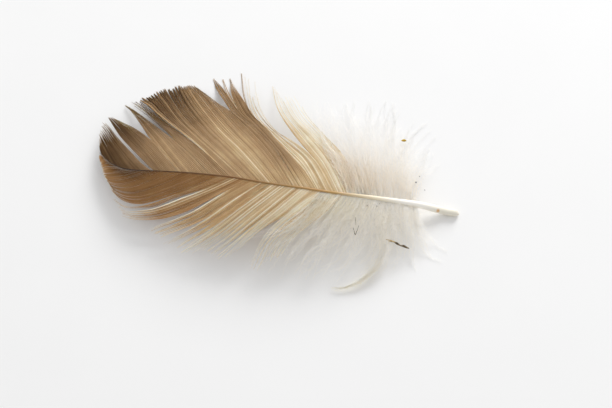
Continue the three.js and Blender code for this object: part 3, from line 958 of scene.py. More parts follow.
def give_map_values(mesh, across, shift):
    """Values that place each corner in its barb's strip of the piece's map."""
    for name, values in (("across", across), ("shift", shift)):
        attribute = mesh.attributes.new(name, "FLOAT", "POINT")
        attribute.data.foreach_set("value", np.asarray(values, np.float32))


MAP_NAME = "OFBake"
MAP_MARGIN = 0.02
STRIP_MARGIN = 0.1  # the share of a barb's strip that is left free on each side


def give_map(mesh, barb_count):
    """A map with a strip for each barb, root to tip. A barbule lies where it grows from its barb."""
    values = {}
    for name in ("reach", "row", "across", "shift"):
        values[name] = np.empty(len(mesh.vertices), np.float32)
        mesh.attributes[name].data.foreach_get("value", values[name])
    corners = np.empty(len(mesh.loops), np.int32)
    mesh.loops.foreach_get("vertex_index", corners)
    lengthwise = MAP_MARGIN + (1 - 2 * MAP_MARGIN) * np.clip(values["reach"] + values["shift"], 0, 1)
    upward = (values["row"] + STRIP_MARGIN + (1 - 2 * STRIP_MARGIN) * values["across"]) / barb_count
    places = np.column_stack([lengthwise, upward])[corners]
    layer = mesh.uv_layers.new(name=MAP_NAME)
    layer.uv.foreach_set("vector", places.astype(np.float32).ravel())


def set_input(modifier, name, value):
    """Sets a modifier's input by the identifier of the socket with that name."""
    for item in modifier.node_group.interface.items_tree:
        if item.item_type == "SOCKET" and item.in_out == "INPUT" and item.name == name:
            modifier[item.identifier] = value
            return
    raise KeyError(name)


def grow(name, barbs, section, barbule, material, **inputs):
    """Grows barbs into a finished plain mesh by the node tree, and rides it on the feather's body."""
    source = barbs.object(name + "_lines")
    modifier = source.modifiers.new("Barbs", "NODES")
    modifier.node_group = bpy.data.node_groups.get(BARB_TREE) or barb_tree()
    set_input(modifier, "Barb section", section)
    set_input(modifier, "Barbule", barbule)
    set_input(modifier, "Keratin", material)
    for key, value in inputs.items():
        set_input(modifier, key.replace("_", " ").capitalize(), value)
    bpy.context.view_layer.update()
    evaluated = source.evaluated_get(bpy.context.evaluated_depsgraph_get())
    mesh = bpy.data.meshes.new_from_object(evaluated)
    mesh.name = name
    give_map(mesh, len(barbs.lines))
    for extra in (source, section, barbule):
        bpy.data.objects.remove(extra)
    finish_piece(name, mesh, "feather")


BOX_MARGIN = 0.005 * MM


def keep_in_box(mesh):
    """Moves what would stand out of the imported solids' box back to its sides."""
    low, high = np.asarray(cad_box[0]) + BOX_MARGIN, np.asarray(cad_box[1]) - BOX_MARGIN
    places = np.empty(3 * len(mesh.vertices), np.float32)
    mesh.vertices.foreach_get("co", places)
    mesh.vertices.foreach_set("co", np.clip(places.reshape(-1, 3), low, high).astype(np.float32).ravel())
    mesh.update()


def finish_piece(name, mesh, node=None):
    """Puts a mesh in the scene as a piece that rides on the body, and may stand for a node of the frame."""
    keep_in_box(mesh)
    piece = linked(name, mesh)
    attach(piece, BODY)
    if node:
        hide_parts(node)


def tube(name, centres, outline_of, material):
    """A closed smooth tube through centres in station millimetres.

    outline_of gives ring i's offsets to the side and up, and may give them ahead too.
    """
    centres = np.asarray(centres, float)
    ahead = np.gradient(centres, axis=0)
    ahead /= np.linalg.norm(ahead, axis=1, keepdims=True)
    side = np.column_stack([-ahead[:, 1], ahead[:, 0], np.zeros(len(ahead))])
    side /= np.linalg.norm(side, axis=1, keepdims=True)
    up = np.cross(ahead, side)
    rings = []
    for i, centre in enumerate(centres):
        offsets = np.asarray(outline_of(i), float)
        axes = np.stack([side[i], up[i], ahead[i]])
        rings.append(centre + offsets @ axes[: offsets.shape[1]])
    count = len(rings[0])
    points = in_part_frame(np.concatenate(rings)).tolist()
    faces = []
    for r in range(len(rings) - 1):
        for s in range(count):
            a, b = r * count + s, r * count + (s + 1) % count
            faces.append((a, b, b + count, a + count))
    first, last = [in_part_frame(c).tolist() for c in (centres[0], centres[-1])]
    points += [first, last]
    base, end = len(points) - 2, len(points) - 1
    tail = (len(rings) - 1) * count
    for s in range(count):
        faces.append((base, (s + 1) % count, s))
        faces.append((end, tail + s, tail + (s + 1) % count))
    mesh = bpy.data.meshes.new(name)
    mesh.from_pydata(points, [], faces)
    mesh.shade_smooth()
    mesh.materials.append(material)
    return mesh


BARB_STEPS = 30
VANE_SECTION = [(-1, -0.12), (-0.4, -0.03), (-0.14, 0.1), (0.14, 0.1), (0.4, -0.03), (1, -0.12), (0, -0.2)]
DOWN_SECTION = [(-1, -0.5), (1, -0.5), (0, 1)]
STEEPEST = 0.9  # the most that a barb banks, in radians
NARROWEST_STEP = 0.1  # barbs nearer than this bank as if they stood this far apart


def barb_between(guides, across, shares):
    """The barb that is across guides, where 0 is the first and 1 the second, at shares of its length."""
    left = int(min(math.floor(across), len(guides) - 2))
    first, second = guides[left], guides[left + 1]
    line = mix(barb_curve(first, shares), barb_curve(second, shares), across - left)
    # The shaft bows between the guides, and each barb still starts on it
    root = mix(first[0], second[0], across - left)
    off_shaft = float(shaft_sideways(root)) - line[0, 1]
    return line + np.outer((1 - shares) ** 3, (0, off_shaft))


def barb_places(guides, pitch):
    """Places across guides, so that neighbouring barbs are about one pitch apart where they stand widest."""
    lines = [barb_curve(guide, np.linspace(0, 1, BARB_STEPS)) for guide in guides]
    places = []
    for k in range(len(lines) - 1):
        apart = np.abs(((lines[k + 1] - lines[k]) * plan_normals(lines[k])).sum(axis=1))
        count = max(1, round(float(apart[len(apart) // 6 : 2 * len(apart) // 3].max()) / pitch))
        places += list(k + np.arange(count) / count)
    return [*places, len(guides) - 1]


def half_spacings(lines):
    """Half the distance from each barb to its neighbours, at each of its points."""
    gaps = [np.abs(((b - a) * plan_normals(a)).sum(axis=1)) for a, b in zip(lines[:-1], lines[1:])]
    gaps = [gaps[0], *gaps, gaps[-1]]
    return [np.maximum(before, after) / 2 for before, after in zip(gaps[:-1], gaps[1:])]


def banks(lines, heights):
    """How far each barb banks at each of its points, to lie in one sheet with the barbs beside it."""
    rolls = []
    for k, line in enumerate(lines):
        low, high = max(k - 1, 0), min(k + 1, len(lines) - 1)
        offset = ((lines[high] - lines[low]) * plan_normals(line)).sum(axis=1)
        rise = (heights[high] - heights[low]) * np.sign(offset)
        slope = np.arctan2(rise, np.maximum(np.abs(offset), NARROWEST_STEP))
        rolls.append(np.clip(slope, -STEEPEST, STEEPEST))
    return rolls


# How one barb or strand differs from the next, in millimetres or as shares of a length, a width or a tone
PART_VARIES = (-0.12, 0.05)
PART_LIMITS = (0.1, 0.98)
DRAW_VARIES = (0.2, 1)
DRAW_AHEAD = 0.1  # how far before the place where it parts a strand starts to draw in
STRAND_TONE = 0.7  # how far strands differ in tone, as a share of how far barbs do
STRAND_RISE = 0.06
RISE_AHEAD = 0.3
LEAST_STRAY = 0.2
STRAY_POWER = 5
WANDER = 0.007
BARB_RISE = 0.012
LOWEST_BARB = 0.12
THIN_VARIES = 0.06
THIN_LIMIT = 0.985
HALF_WIDTHS = (0.05, 0.36)  # of the narrowest and the widest barb
PALE_BARBS = 0.025  # the share of barbs that are paler by PALE_TONE
PALE_TONE = 0.16
FOLD_PAINTED_SHADE_TIP = 0.35  # the share of a fold's painted shade that is gone at the tips
RIM_BARBS = 2
FRINGE_LATEST = 0.8
# Where something starts along a barb and where it is full, from 0, its root, to 1, its tip
STRAND_ROUNDS = (0.1, 0.5)
BARB_LIFTS = (0.15, 0.6)
TIP_COLOURS = (0.28, 0.95)
# Painted shade of a fold: where it starts to darken a barb's colour and is full, then where it starts to fade
FOLD_PAINTED_SHADE_RISES = (0.02, 0.25)
FOLD_PAINTED_SHADE_FADES = (0.6, 1)
RIM_PALES = (0.1, 0.4)


def add_section(barbs, section, paleness_rows, settings, random):
    """Adds one section of a vane: strands of hooked barbs, which part from one another near their tips."""
    shares = np.linspace(0, 1, BARB_STEPS)
    guides = section["guides"]
    last = len(guides) - 1
    places = barb_places(guides, settings.barb_pitch)
    halves = half_spacings([barb_between(guides, place, shares) for place in places])
    roots = np.interp(places, range(last + 1), [guide[0] for guide in guides])
    fullness = smoothstep(*STRAND_ROUNDS, shares)
    lines, heights, widths, pales = [], [], [], []
    size, member = 0, 0
    for k, place in enumerate(places):
        if member == size:
            fewest, most = section["strand"]
            size, member = min(int(random.integers(fewest, most + 1)), len(places) - k), 0
            middle = barb_between(guides, (places[k] + places[k + size - 1]) / 2, shares)
            part = np.clip(section["part"] + random.uniform(*PART_VARIES), *PART_LIMITS)
            pull = section["draw"] * random.uniform(*DRAW_VARIES) * smoothstep(part - DRAW_AHEAD, 1, shares)
            tone = random.normal(0, settings.streak * STRAND_TONE)
            level = random.normal(0, STRAND_RISE) * smoothstep(part - RISE_AHEAD, 1, shares)
        off = (member + 0.5) / size * 2 - 1
        member += 1
        longer = 1 + random.normal(0, section["ragged"])
        line = mix(barb_between(guides, place, shares * longer), middle, pull[:, None])
        # Where strands hardly draw in, the hooks hold their barbs in line to the end
        freedom = min(1, LEAST_STRAY + 2 * section["draw"])
        stray = random.normal(0, settings.stray) * freedom * shares**STRAY_POWER
        wander = np.cumsum(random.normal(0, WANDER, BARB_STEPS)) * shares
        line = line + plan_normals(line) * (stray + wander)[:, None]
        share_across = place / last
        lift = mix(*section["lift"], share_across) * smoothstep(*BARB_LIFTS, shares)
        relief = settings.strand_relief * (1 - off**2) * fullness
        height = lay_height(line[:, 0], line[:, 1]) + lift + relief + level + random.normal(0, BARB_RISE)
        lines.append(line)
        heights.append(np.maximum(height, LOWEST_BARB))
        thin_varies = min(THIN_VARIES, 1 - section["thin"])
        thin = min(section["thin"] + random.uniform(-1, 1) * thin_varies, THIN_LIMIT)
        taper = 1 - (1 - settings.tip_share) * smoothstep(thin, 1, shares)
        widths.append(np.clip(halves[k] * (1 - pull) * section["overlap"], *HALF_WIDTHS) * taper)
        root_pale, tip_pale = [along(paleness_rows, roots[k], column) for column in (1, 2)]
        pale = mix(root_pale, tip_pale, smoothstep(*TIP_COLOURS, shares))
        # Painted shade of a fold: its darkness is taken off the barb's paleness, and so put in its colour
        dark = mix(*section["shade"], share_across) * smoothstep(*FOLD_PAINTED_SHADE_RISES, shares)
        dark *= 1 - FOLD_PAINTED_SHADE_TIP * smoothstep(*FOLD_PAINTED_SHADE_FADES, shares)
        streak = random.normal(0, settings.streak) + tone + PALE_TONE * (random.random() < PALE_BARBS)
        if member == 1:
            streak += section["edge"] * random.random()
        rim = section["rim"] * max(0, 1 - k / RIM_BARBS) * smoothstep(*RIM_PALES, shares)
        tip = section["bleach"] * smoothstep(section["thin"], 1, shares)
        pales.append(np.clip(pale + streak + rim + tip - settings.painted_fold_shade * dark, 0, 1))
    rolls = banks(lines, heights)
    fringe = settings.fringe * smoothstep(min(section["thin"], FRINGE_LATEST), 1, shares)
    for line, height, width, roll, pale in zip(lines, heights, widths, rolls, pales):
        barbs.add(
            np.column_stack([line, height]),
            half_width=width, roll=roll, reach=shares, paleness=pale, barbule_length=fringe,
        )


def vane_barbs(sections, habit, paleness_rows, settings, seed):
    """The barbs of one vane."""
    random = np.random.default_rng(seed)
    barbs = Barbs()
    for section in sections:
        add_section(barbs, {**habit, **section}, paleness_rows, settings, random)
    return barbs


LONG_STEPS, SHORT_STEPS = 22, 12
FAN_THINNING = 0.85
DOWN_TAPER = (0.5, 0.14)  # a down barb's half width at its root and its tip, as shares of its width
LOWEST_DOWN = 0.3
ROOT_FLUFF = 0.3  # the length of the first barbules as a share of the longest
FLUFF_POWER = 0.75  # below 1 the longest barbules stand nearer the root than the tip
FLUFF_VARIES = (0.75, 1.1)


def add_down_barb(barbs, line, height, end, paleness, settings, random):
    """Adds a loose barb, whose barbules are longest in its middle."""
    shares = np.linspace(0, 1, len(line))
    swell = np.sin(np.pi * shares**FLUFF_POWER)
    fluff = settings.barbule_length * (ROOT_FLUFF + (1 - ROOT_FLUFF) * swell)
    barbs.add(
        np.column_stack([line, np.maximum(height, LOWEST_DOWN)]),
        half_width=settings.barb_width * mix(*DOWN_TAPER, shares),
        roll=0,
        reach=shares * end,
        paleness=paleness,
        barbule_length=fluff * random.uniform(*FLUFF_VARIES),
    )


def fan_place(share_of_count):
    """Where in the fan a barb stands, from 0 to 1: they stand apart more and more towards the quill."""
    return 1 - (1 - min(share_of_count, 1)) ** FAN_THINNING


TUFT_BARBS = (2, 6)  # the fewest and the most in a tuft
CLUMP_VARIES = (0.2, 1)
TUFT_CLOSES = (0.25, 1)  # where along its barbs a tuft starts to draw together, and is full
DOWN_STRAY = 0.09  # how far a barb strays and waves sideways, as shares of its length
DOWN_WAVE = 0.065
STRAY_GROWTH = 1.6
WAVE_TURNS = (3, 9)  # how far a wave turns along a barb, and where it may start, in radians
WAVE_STARTS = (0, 6.3)
LOOSE_LIFT = 0.9  # how far a barb rises or sinks from the lay
LIFT_ARCH = 0.8
STAIN_OUT = (0.12, 0.45)  # where the stain fades on the way out, and across the fan from the vane
STAIN_ACROSS = (0.1, 0.7)


def add_fan(barbs, guides, count, ends, steps, settings, random):
    """Adds barbs spread like a fan across guides, each ending at its own share of the way out."""
    last = len(guides) - 1
    shares = np.linspace(0, 1, steps)
    left_in_tuft = 0
    for k in range(count):
        if not left_in_tuft:
            left_in_tuft = int(random.integers(TUFT_BARBS[0], TUFT_BARBS[1] + 1))
            tuft = fan_place((k + left_in_tuft / 2) / count) * last
            clump = settings.clump * random.uniform(*CLUMP_VARIES) * smoothstep(*TUFT_CLOSES, shares)
        left_in_tuft -= 1
        across = fan_place((k + random.random()) / count) * last
        end = random.uniform(*ends)
        own, shared = [barb_between(guides, place, shares * end) for place in (across, tuft)]
        line = mix(own, shared, clump[:, None])
        length = np.linalg.norm(line[-1] - line[0])
        stray = random.normal(0, DOWN_STRAY) * length * shares**STRAY_GROWTH
        phase = shares * random.uniform(*WAVE_TURNS) + random.uniform(*WAVE_STARTS)
        wave = DOWN_WAVE * length * np.sin(phase) * shares
        line = line + plan_normals(line) * (stray + wave)[:, None]
        lift = random.uniform(-LOOSE_LIFT, LOOSE_LIFT) * np.sin(np.pi * shares * LIFT_ARCH)
        height = lay_height(line[:, 0], line[:, 1]) + lift
        near_shaft = 1 - smoothstep(*STAIN_OUT, shares * end)
        near_vane = 1 - smoothstep(*STAIN_ACROSS, across / last)
        stained = settings.warmth * near_shaft * near_vane
        add_down_barb(barbs, line, height, end, 1 - stained, settings, random)


BUNDLE_ENDS = (0.85, 1)
BUNDLE_SCATTER = 0.15
BUNDLE_ROOT = 2.6  # the bundle's breadth at its root, and what it loses by half its length, in widths
BUNDLE_NARROWS = 1.7
BUNDLE_TAPER = 0.85
BUNDLE_LIFT = 0.3
BUNDLE_STAINS = (0.5, 0.85)  # where along the bundle the stain starts and is full
LEFT_STAIN_AND_SHADE, RIGHT_STAIN_AND_SHADE = 0.75, 0.3  # how strong the stain is on the left of the bundle's way out, and on its right; the left, turned away from the light, takes more of it as painted shade


def add_bundle(barbs, guide, height_rows, width, count, settings, random):
    """Adds a bundle of barbs that run together along one guide, at heights given along its length."""
    shares = np.linspace(0, 1, BARB_STEPS)
    for k in range(count):
        off = (k + 0.5) / count * 2 - 1
        end = random.uniform(*BUNDLE_ENDS)
        line = barb_curve(guide, shares * end)
        place = width / 2 * (off + random.normal(0, BUNDLE_SCATTER))
        gathered = BUNDLE_ROOT - BUNDLE_NARROWS * smoothstep(0, 0.5, shares)
        spread = place * gathered * (1 - BUNDLE_TAPER * shares**3)
        line = line + plan_normals(line) * spread[:, None]
        lift = random.uniform(-BUNDLE_LIFT, BUNDLE_LIFT) * (1 - shares)
        height = along(height_rows, shares * end, 1) + lift
        # The yellow is the down's own stain; its being stronger on one side of the bundle is painted shade
        stained = smoothstep(*BUNDLE_STAINS, shares) * mix(LEFT_STAIN_AND_SHADE, RIGHT_STAIN_AND_SHADE, (1 - off) / 2)
        add_down_barb(barbs, line, height, end, 1 - stained, settings, random)


def a_size(name, description, default):
    """A size that a user may change."""
    return bpy.props.FloatProperty(name=name, description=description, default=default, min=0, precision=3)


def a_share(name, description, default):
    """A share from 0 to 1 that a user may change."""
    return bpy.props.FloatProperty(
        name=name, description=description, default=default, min=0, max=1, subtype="FACTOR"
    )


def a_colour(name, description, hex_colour):
    """A colour that a user may change."""
    return bpy.props.FloatVectorProperty(
        name=name, description=description, default=linear(hex_colour), subtype="COLOR", size=3, min=0, max=1
    )


class ShaftSettings(bpy.types.PropertyGroup):
    quill: a_colour("Quill", "Ivory horn of the bare quill", "#e9e3d4")
    ivory: a_colour("Upper quill", "Pale ivory horn above the quill's end", "#faf6ee")
    cream: a_colour("Base of shaft", "Cream horn where the down grows", "#efe2c6")
    tan: a_colour("Middle of shaft", "Tan horn along the pale half of the vanes", "#b8935c")
    brown: a_colour("Outer shaft", "Brown horn along the dark half of the vanes", "#7e5830")
    dark: a_colour("Tip of shaft", "Darkest horn, at the tip", "#2a180a")
    stain: a_colour("Stain", "Rusty stain on the quill", "#d49a48")
    groove: a_share("Groove", "Depth of the groove under the shaft, as a share of its radius", 0.45)
    cut: a_size("Cut", "How far the top of the quill's end is set back by its slanted cut, in mm", 0.5)


class VaneSettings(bpy.types.PropertyGroup):
    barb_pitch: a_size("Barb pitch", "Distance between neighbouring barbs, in mm", 0.35)
    strand_relief: a_size(
        "Strand relief", "How far a strand's middle stands above its edges, in mm", 0.05
    )
    stray: a_size("Stray", "How far a barb's tip strays sideways, in mm", 0.16)
    fringe: a_size("Fringe", "Length of the free barbules at the rim, in mm", 0.4)
    tip_share: a_share("Tip width", "Width of a barb's tip as a share of its width", 0.35)
    streak: a_share("Streak", "How much paler or darker one barb is than the next", 0.045)
    # Painted shade: how far the colour of the folded strands is darkened
    painted_fold_shade: a_share("Fold shade", "How much darker the folded part of the vane is", 0.6)


class DownSizes:
    """The sizes of either side's down."""

    long_barbs: bpy.props.IntProperty(
        name="Long barbs", description="Barbs that reach the rim", default=90, min=1
    )
    short_barbs: bpy.props.IntProperty(
        name="Short barbs", description="Barbs that crowd at the shaft", default=100, min=1
    )
    warmth: a_share("Warmth", "How far the down beside the vane takes the stained colour near the shaft", 0.6)
    clump: a_share("Clump", "How far the barbs of a tuft draw together", 0.8)
    barb_width: a_size("Barb width", "Width of a down barb at its root, in mm", 0.15)
    barbule_length: a_size("Barbule length", "Length of the longest barbules, in mm", 1.9)
    barbule_spacing: a_size("Barbule spacing", "Distance between barbules along a barb, in mm", 0.18)
    barbule_thickness: a_size("Barbule thickness", "Thickness of a barbule, in mm", 0.04)


class UpperDownSettings(DownSizes, bpy.types.PropertyGroup):
    root: a_colour("Down at the shaft", "Cream of the crowded roots", "#fcf4e6")
    middle: a_colour("Down", "Pale cream of the threads on their way out", "#fcf7ee")
    tip: a_colour("Down at the rim", "White of the spread threads", "#fcfaf6")
    stained: a_colour("Stained down", "Warm cream down beside the vane", "#f3dfb8")


class LowerDownSettings(DownSizes, bpy.types.PropertyGroup):
    root: a_colour("Down at the shaft", "Cream of the crowded roots", "#fefaf0")
    middle: a_colour("Down", "Cream of the threads on their way out", "#fefaf0")
    tip: a_colour("Down at the rim", "Cream white of the spread threads", "#fbf6ea")
    stained: a_colour("Stained down", "Yellowish down of the curled bundle and beside the vane", "#f8efcc")


class StageSettings(bpy.types.PropertyGroup):
    floor: a_colour("Floor", "Matt white card", "#f2f2f2")
    key_power: bpy.props.FloatProperty(
        name="Window", description="Power of the soft light behind the feather",
        default=10.5, min=0, subtype="POWER", unit="POWER",
    )
    room: bpy.props.FloatProperty(
        name="Room", description="Strength of the even light from all round", default=0.7, min=0
    )


QUILL_WIDENING = 0.13  # how much wider than high the quill is
QUILL_ROUNDS = (6, 12)  # the stations between which it turns round
ROUND_SIDES = 20
END_RINGS = (0.02, 0.12, 0.3, 0.55, QUILL_ROUNDING, 2)  # the stations of the rings of the quill's end
SHAFT_RINGS = 130
TIP_GAP = 0.1  # how far before the shaft's full length its last ring lies
END_ROUNDING = 0.34  # the square of the share of its thickness that the quill's end has at least
GROOVE_ANGLE = 0.45  # from the groove's middle to where it is about a third as deep, in radians
GROOVE_STARTS = (13, 22)  # the stations where it starts and is full
CUT_ENDS = 2  # the station where the slanted cut ends


class FEATHER_OT_shaft(bpy.types.Operator):
    """Make the quill and shaft, oval and cut at the quill's end and grooved below along the vanes"""

    bl_idname = "feather.shaft"
    bl_label = "Quill and Shaft"

    def execute(self, context):
        settings = context.scene.feather_shaft
        along_shaft = np.linspace(QUILL_REST, SHAFT_LENGTH - TIP_GAP, SHAFT_RINGS)
        stations = np.concatenate([END_RINGS, along_shaft])
        from_end = np.clip(stations / QUILL_ROUNDING, 0, 1)
        rounding = np.sqrt(np.clip(1 - (1 - from_end) ** 2, END_ROUNDING, 1))
        radius = shaft_radius(stations) * rounding
        resting = stations <= QUILL_REST
        heights = np.where(resting, shaft_radius(stations), shaft_height(stations))
        centres = np.column_stack([stations, shaft_sideways(stations), heights])
        angles = np.linspace(0, 2 * np.pi, ROUND_SIDES, endpoint=False)

        def outline(i):
            # Angle 0 is the top. The groove is a dent round the lowest point.
            depth = settings.groove * smoothstep(*GROOVE_STARTS, stations[i])
            under = np.exp(-(((angles - np.pi) / GROOVE_ANGLE) ** 2))
            reach = radius[i] * (1 - depth * under)
            wider = 1 + QUILL_WIDENING * (1 - smoothstep(*QUILL_ROUNDS, stations[i]))
            near_top = 0.5 + 0.5 * np.cos(angles)
            set_back = settings.cut * (1 - smoothstep(0, CUT_ENDS, stations[i])) * near_top
            return np.column_stack([reach * wider * np.sin(angles), reach * np.cos(angles), set_back])

        stops = [
            (0.03, settings.quill), (0.09, settings.ivory), (0.14, settings.ivory), (0.22, settings.cream),
            (0.33, settings.tan), (0.6, settings.brown), (0.88, settings.dark),
        ]
        material = shaft_keratin("Shaft horn", stops, settings.stain)
        mesh = tube("shaft", centres, outline, material)
        finish_piece("shaft", mesh, "feather")
        return {"FINISHED"}


UPPER_STOPS = [
    (0.0, "#48321c"), (0.15, "#62492e"), (0.3, "#7f6446"), (0.45, "#977a58"), (0.6, "#ae906c"),
    (0.75, "#c4a880"), (0.88, "#dcc6a2"), (1.0, "#f4ead4"),
]
LOWER_STOPS = [
    (0.0, "#543a20"), (0.12, "#6b4c2c"), (0.28, "#8a653e"), (0.42, "#a0784d"), (0.55, "#b48f65"),
    (0.68, "#c8a97f"), (0.8, "#dac09a"), (0.9, "#e9d8b8"), (1.0, "#f4ead6"),
]


UPPER_VANE_SEED, LOWER_VANE_SEED = 11, 12


def grow_vane(name, sections, habit, paleness_rows, stops, settings, seed):
    """Grows one vane of hooked barbs."""
    material = vane_keratin(name + " keratin", [(place, linear(c)) for place, c in stops])
    barbs = vane_barbs(sections, habit, paleness_rows, settings, seed)
    grow(
        name,
        barbs,
        section_object("Vane barb section", VANE_SECTION),
        barbule_object("Barbule"),
        material,
        barbule_spacing=0.16 * MM,
        barbule_thickness=0.025 * MM,
        lean=1.2,
        stand=0.4,
        seed=seed,
    )


class FEATHER_OT_upper_vane(bpy.types.Operator):
    """Make the broad vane, with its slits, its spikes and its folded strands"""

    bl_idname = "feather.upper_vane"
    bl_label = "Upper Vane"

    def execute(self, context):
        settings = context.scene.feather_vane
        tables = (UPPER_VANE, UPPER_HABIT, UPPER_PALENESS, UPPER_STOPS)
        grow_vane("upper_vane", *tables, settings, UPPER_VANE_SEED)
        return {"FINISHED"}


class FEATHER_OT_lower_vane(bpy.types.Operator):
    """Make the narrow vane, whose barbs fray along the rim"""

    bl_idname = "feather.lower_vane"
    bl_label = "Lower Vane"

    def execute(self, context):
        settings = context.scene.feather_vane
        tables = (LOWER_VANE, LOWER_HABIT, LOWER_PALENESS, LOWER_STOPS)
        grow_vane("lower_vane", *tables, settings, LOWER_VANE_SEED)
        return {"FINISHED"}


LONG_ENDS = (0.72, 1.0)  # the shares of the way out where the long barbs end, and the short ones
SHORT_ENDS = (0.25, 0.6)
UPPER_DOWN_SEED, LOWER_DOWN_SEED = 21, 22


def down_barbs(guides, settings, random):
    """The loose barbs of one side's down: long ones, and short ones that crowd at the shaft."""
    barbs = Barbs()
    add_fan(barbs, guides, settings.long_barbs, LONG_ENDS, LONG_STEPS, settings, random)
    add_fan(barbs, guides, settings.short_barbs, SHORT_ENDS, SHORT_STEPS, settings, random)
    return barbs


def grow_down(name, barbs, settings, seed):
    """Grows one side's down."""
    colours = (settings.root, settings.middle, settings.tip)
    material = down_keratin(name + " keratin", colours, settings.stained)
    grow(
        name,
        barbs,
        section_object("Down barb section", DOWN_SECTION),
        barbule_object("Barbule"),
        material,
        barbule_spacing=settings.barbule_spacing * MM,
        barbule_thickness=settings.barbule_thickness * MM,
        lean=0.9,
        stand=0.7,
        seed=seed,
    )


class FEATHER_OT_upper_down(bpy.types.Operator):
    """Make the white down beside the upper vane"""

    bl_idname = "feather.upper_down"
    bl_label = "Upper Down"

    def execute(self, context):
        settings = context.scene.feather_upper_down
        barbs = down_barbs(UPPER_DOWN, settings, np.random.default_rng(UPPER_DOWN_SEED))
        grow_down("upper_down", barbs, settings, UPPER_DOWN_SEED)
        return {"FINISHED"}


class FEATHER_OT_lower_down(bpy.types.Operator):
    """Make the cream down beside the lower vane, with the bundle that curls forward"""

    bl_idname = "feather.lower_down"
    bl_label = "Lower Down"

    def execute(self, context):
        settings = context.scene.feather_lower_down
        random = np.random.default_rng(LOWER_DOWN_SEED)
        barbs = down_barbs(LOWER_DOWN, settings, random)
        add_bundle(barbs, CURL, CURL_HEIGHTS, CURL_WIDTH, CURL_BARBS, settings, random)
        for guide in STRAYS:
            line = barb_curve(guide, np.linspace(0, 1, LONG_STEPS))
            height = lay_height(line[:, 0], line[:, 1])
            add_down_barb(barbs, line, height, 1, 1, settings, random)
        grow_down("lower_down", barbs, settings, LOWER_DOWN_SEED)
        return {"FINISHED"}


SCRAP_SIDES = 8
SCRAP_FLATNESS = 0.6
SCRAP_RINGS = 6  # for each place given
LUMP_DEPTH = 0.22  # as a share of the scrap's thickness there
LUMPS_ROUND = 3
LUMP_TURN = 2.1  # how far the lumps turn from one ring to the next, in radians


def lay_scrap(name, places, material, node=None):
    """Lays a closed lumpy scrap on the down. A place is a station, a sideways place and a thickness."""
    rows = [(k, *place) for k, place in enumerate(places)]
    steps = np.linspace(0, len(places) - 1, SCRAP_RINGS * len(places))
    x, y, thickness = [along(rows, steps, column) for column in (1, 2, 3)]
    centres = np.column_stack([x, y, lay_height(x, y) + SCRAP_LIFT])
    angles = np.linspace(0, 2 * np.pi, SCRAP_SIDES, endpoint=False)

    def outline(i):
        reach = thickness[i] / 2 * (1 + LUMP_DEPTH * np.sin(LUMPS_ROUND * angles + LUMP_TURN * i))
        return np.column_stack([reach * np.sin(angles), SCRAP_FLATNESS * reach * np.cos(angles)])

    finish_piece(name, tube(name, centres, outline, material), node)


class FEATHER_OT_dirt(bpy.types.Operator):
    """Lay the chaff and the small dirt on the down"""

    bl_idname = "feather.dirt"
    bl_label = "Chaff and Dirt"

    def execute(self, context):
        materials = {
            stuff: plant_scrap(stuff, linear(dark), linear(pale))
            for stuff, (dark, pale) in SCRAP_COLOURS.items()
        }
        for name, (stuff, places) in CHAFF.items():
            lay_scrap(name, places, materials[stuff], "chaff")
        for name, (stuff, places) in DIRT.items():
            lay_scrap(name, places, materials[stuff])
        return {"FINISHED"}


LENS = 90.0
SENSOR = 36.0
PICTURE_WIDTH = 612
MM_PER_PIXEL = 0.27
CAMERA_AZIMUTH = math.radians(190.6)
CAMERA_ELEVATION = math.radians(65)
CAMERA_TARGET = (41.218, 6.259, 4.0)  # in station millimetres
# The window stands low behind the feather as the camera sees it, a little to the right
WINDOW_PLACE = (-0.15, -0.98, 0.48)
WINDOW_SIZE = 0.55
FLOOR_HALF = 1.5  # in metres, as the depth is
FLOOR_DEPTH = 0.02
SEEN_BETWEEN = (0.01, 10)  # the camera's nearest and furthest distance, in metres
DIFFUSE_BOUNCES = 12  # white down passes light on many times before it comes out


def area_light(name, place, target, size, power):
    """A square soft light that faces a point."""
    light = bpy.data.lights.new(name, "AREA")
    light.shape = "SQUARE"
    light.size = size
    light.energy = power
    lamp = bpy.data.objects.new(name, light)
    bpy.context.scene.collection.objects.link(lamp)
    lamp.location = place
    lamp.rotation_euler = (Vector(place) - Vector(target)).to_track_quat("Z", "Y").to_euler()


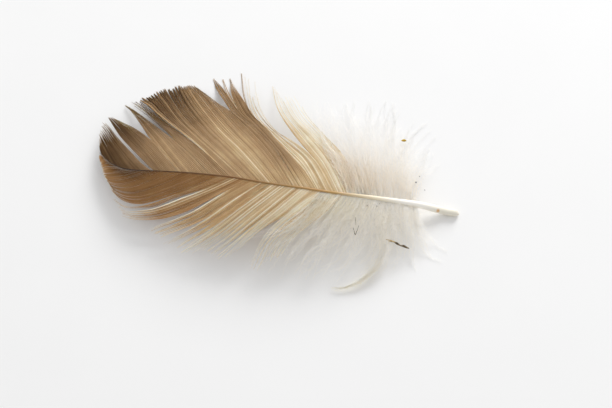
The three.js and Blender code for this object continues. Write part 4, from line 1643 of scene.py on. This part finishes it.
class FEATHER_OT_stage(bpy.types.Operator):
    """Make the floor, the lights and the camera"""

    bl_idname = "feather.stage"
    bl_label = "Stage"

    def execute(self, context):
        settings = context.scene.feather_stage
        plan = [(x * FLOOR_HALF, y * FLOOR_HALF) for x, y in ((-1, -1), (1, -1), (1, 1), (-1, 1))]
        corners = [(x, y, z) for z in (-FLOOR_DEPTH, 0) for x, y in plan]
        sides = [(i, (i + 1) % 4, 4 + (i + 1) % 4, 4 + i) for i in range(4)]
        mesh = bpy.data.meshes.new("floor")
        mesh.from_pydata(corners, [], [(3, 2, 1, 0), (4, 5, 6, 7), *sides])
        mesh.materials.append(pale_card("Pale card", settings.floor))
        linked("floor", mesh)

        target = Vector(in_part_frame(CAMERA_TARGET))
        back = Vector((
            math.sin(CAMERA_AZIMUTH) * math.cos(CAMERA_ELEVATION),
            -math.cos(CAMERA_AZIMUTH) * math.cos(CAMERA_ELEVATION),
            math.sin(CAMERA_ELEVATION),
        ))
        distance = MM_PER_PIXEL * MM * PICTURE_WIDTH * LENS / SENSOR
        camera = bpy.data.objects.new("camera", bpy.data.cameras.new("camera"))
        context.scene.collection.objects.link(camera)
        camera.data.lens, camera.data.sensor_width = LENS, SENSOR
        camera.data.clip_start, camera.data.clip_end = SEEN_BETWEEN
        camera.location = target + back * distance
        camera.rotation_mode = "QUATERNION"
        camera.rotation_quaternion = (-back).to_track_quat("-Z", "Y")
        context.scene.camera = camera

        area_light("window", WINDOW_PLACE, target, WINDOW_SIZE, settings.key_power)
        world = bpy.data.worlds.new("room")
        world.use_nodes = True
        background = world.node_tree.nodes["Background"]
        background.inputs["Color"].default_value = (1, 1, 1, 1)
        background.inputs["Strength"].default_value = settings.room
        context.scene.world = world
        context.scene.view_settings.view_transform = "Standard"
        context.scene.cycles.diffuse_bounces = DIFFUSE_BOUNCES
        return {"FINISHED"}


class FEATHER_PT_panel(bpy.types.Panel):
    """Lists the operators and their settings"""

    bl_idname = "FEATHER_PT_panel"
    bl_label = "Hen Feather"
    bl_space_type = "VIEW_3D"
    bl_region_type = "UI"
    bl_category = "Feather"

    def draw(self, context):
        for operator in OPERATORS:
            self.layout.operator(operator.bl_idname)
        for name in SETTINGS:
            box = self.layout.box()
            group = getattr(context.scene, name)
            for key in group.bl_rna.properties.keys():
                if key not in ("rna_type", "name"):
                    box.prop(group, key)


# In the order in which main calls them
OPERATORS = (
    FEATHER_OT_stage,
    FEATHER_OT_shaft,
    FEATHER_OT_upper_vane,
    FEATHER_OT_lower_vane,
    FEATHER_OT_upper_down,
    FEATHER_OT_lower_down,
    FEATHER_OT_dirt,
)
SETTINGS = {
    "feather_stage": StageSettings,
    "feather_shaft": ShaftSettings,
    "feather_vane": VaneSettings,
    "feather_upper_down": UpperDownSettings,
    "feather_lower_down": LowerDownSettings,
}


def register():
    for group in SETTINGS.values():
        bpy.utils.register_class(group)
    for name, group in SETTINGS.items():
        setattr(bpy.types.Scene, name, bpy.props.PointerProperty(type=group))
    for operator in OPERATORS:
        bpy.utils.register_class(operator)
    bpy.utils.register_class(FEATHER_PT_panel)


def unregister():
    bpy.utils.unregister_class(FEATHER_PT_panel)
    for operator in reversed(OPERATORS):
        bpy.utils.unregister_class(operator)
    for name in SETTINGS:
        delattr(bpy.types.Scene, name)
    for group in SETTINGS.values():
        bpy.utils.unregister_class(group)


def main():
    """Registers the tools and makes every piece in order."""
    register()
    for operator in OPERATORS:
        area, name = operator.bl_idname.split(".")
        getattr(getattr(bpy.ops, area), name)()


if __name__ == "__main__":
    main()
